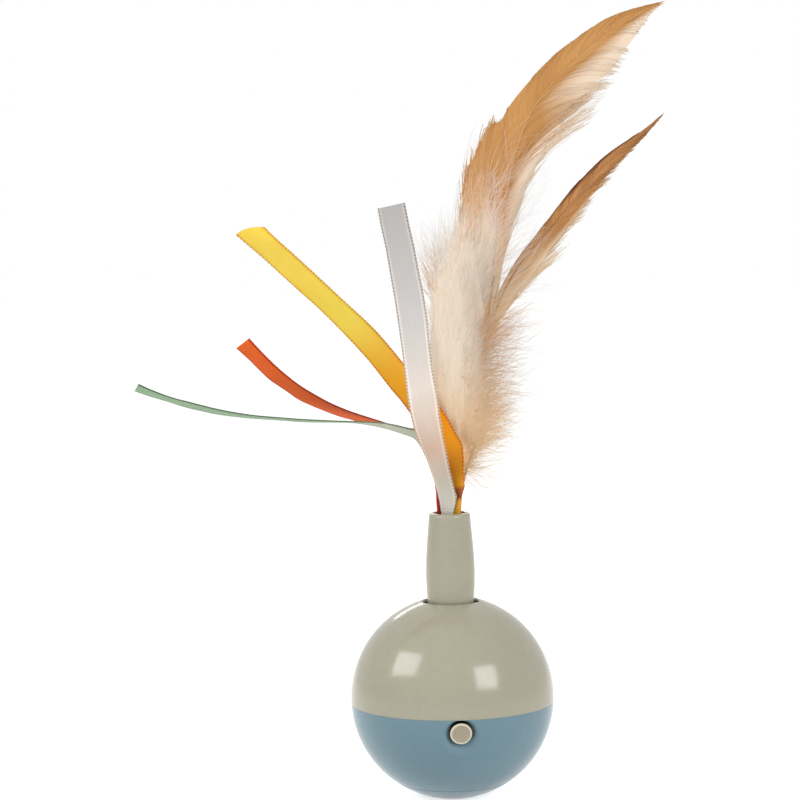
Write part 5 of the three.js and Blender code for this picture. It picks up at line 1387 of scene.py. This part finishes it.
# Studio: a white room, a pale floor, two soft boxes in front and a strip behind

view_right = camera.rotation_quaternion @ Vector((1, 0, 0))
view_up = camera.rotation_quaternion @ Vector((0, 1, 0))
LAMP_DISTANCE = 0.9
# Each lamp: the way to it and its long edge, as shares of right, up and towards the camera, then its
# width and height in metres and its watts
lamps = {
    "left_box": ((-0.749, 0.563, 0.348), (0.521, 0.175, 0.836), 0.48, 0.37, 4.0),
    "right_box": ((0.589, 0.414, 0.693), (0.782, -0.076, -0.619), 0.385, 0.37, 3.6),
    "rear_strip": ((-0.13, 0.47, -0.873), (0.99, 0.08, -0.1), 0.46, 0.05, 0.6),
}
view_turn = Matrix((view_right, view_up, view_back)).transposed()
ball_middle = Vector(MIDDLE * MM)
for name, (toward, edge, wide, tall, watts) in lamps.items():
    lamp = bpy.data.objects.new(name, bpy.data.lights.new(name, "AREA"))
    bpy.context.scene.collection.objects.link(lamp)
    out = (view_turn @ Vector(toward)).normalized()
    up = out.cross(view_turn @ Vector(edge)).normalized()
    lamp.data.shape = "RECTANGLE"
    lamp.data.size = wide
    lamp.data.size_y = tall
    lamp.data.energy = watts
    lamp.location = ball_middle + out * LAMP_DISTANCE
    lamp.rotation_mode = "QUATERNION"
    lamp.rotation_quaternion = Matrix((up.cross(out), up, out)).transposed().to_quaternion()
    lamp.visible_camera = False


def seen(tree):
    """A socket that is 1 for what is seen directly, in reflections or through glass, and 0 for light."""
    rays = put(tree, "LightPath").outputs
    either = put(tree, "Math", {0: rays["Is Camera Ray"], 1: rays["Is Glossy Ray"]}, operation="MAXIMUM")
    feeds = {0: either.outputs[0], 1: rays["Is Transmission Ray"]}
    return put(tree, "Math", feeds, operation="MAXIMUM").outputs[0]


def studio_world():
    """World that is white where it is seen, and dimmer as light."""
    world = bpy.data.worlds.new("studio")
    bpy.context.scene.world = world
    world.use_nodes = True
    tree = world.node_tree
    tree.nodes.clear()
    strength = put(tree, "MapRange", {0: seen(tree), 3: 0.35, 4: 1.0}).outputs[0]
    light = put(tree, "Background", {"Color": (1, 1, 1, 1), "Strength": strength})
    put(tree, "OutputWorld", {0: light.outputs[0]})


def studio_floor():
    """Pale floor that keeps the shadow. It adds light of its own only where it is seen."""
    size = 3000.0
    corners = [(-size, -size, 0), (size, -size, 0), (size, size, 0), (-size, size, 0)]
    floor = new_piece("studio_floor", corners, [np.array([[0, 1, 2, 3]])])

    def glow(tree):
        strength = put(tree, "Math", {0: seen(tree), 1: 0.74}, operation="MULTIPLY").outputs[0]
        return {"Emission Strength": strength}

    # Pale studio paper: matt, a little off white
    values = {
        "Base Color": (0.9, 0.9, 0.9, 1),
        "Roughness": 0.9,
        "Specular IOR Level": 0.1,
        "Emission Color": (1, 1, 1, 1),
    }
    floor.data.materials.append(finish("studio_paper", glow, values))


studio_world()
studio_floor()
bpy.context.scene.view_settings.view_transform = "Standard"
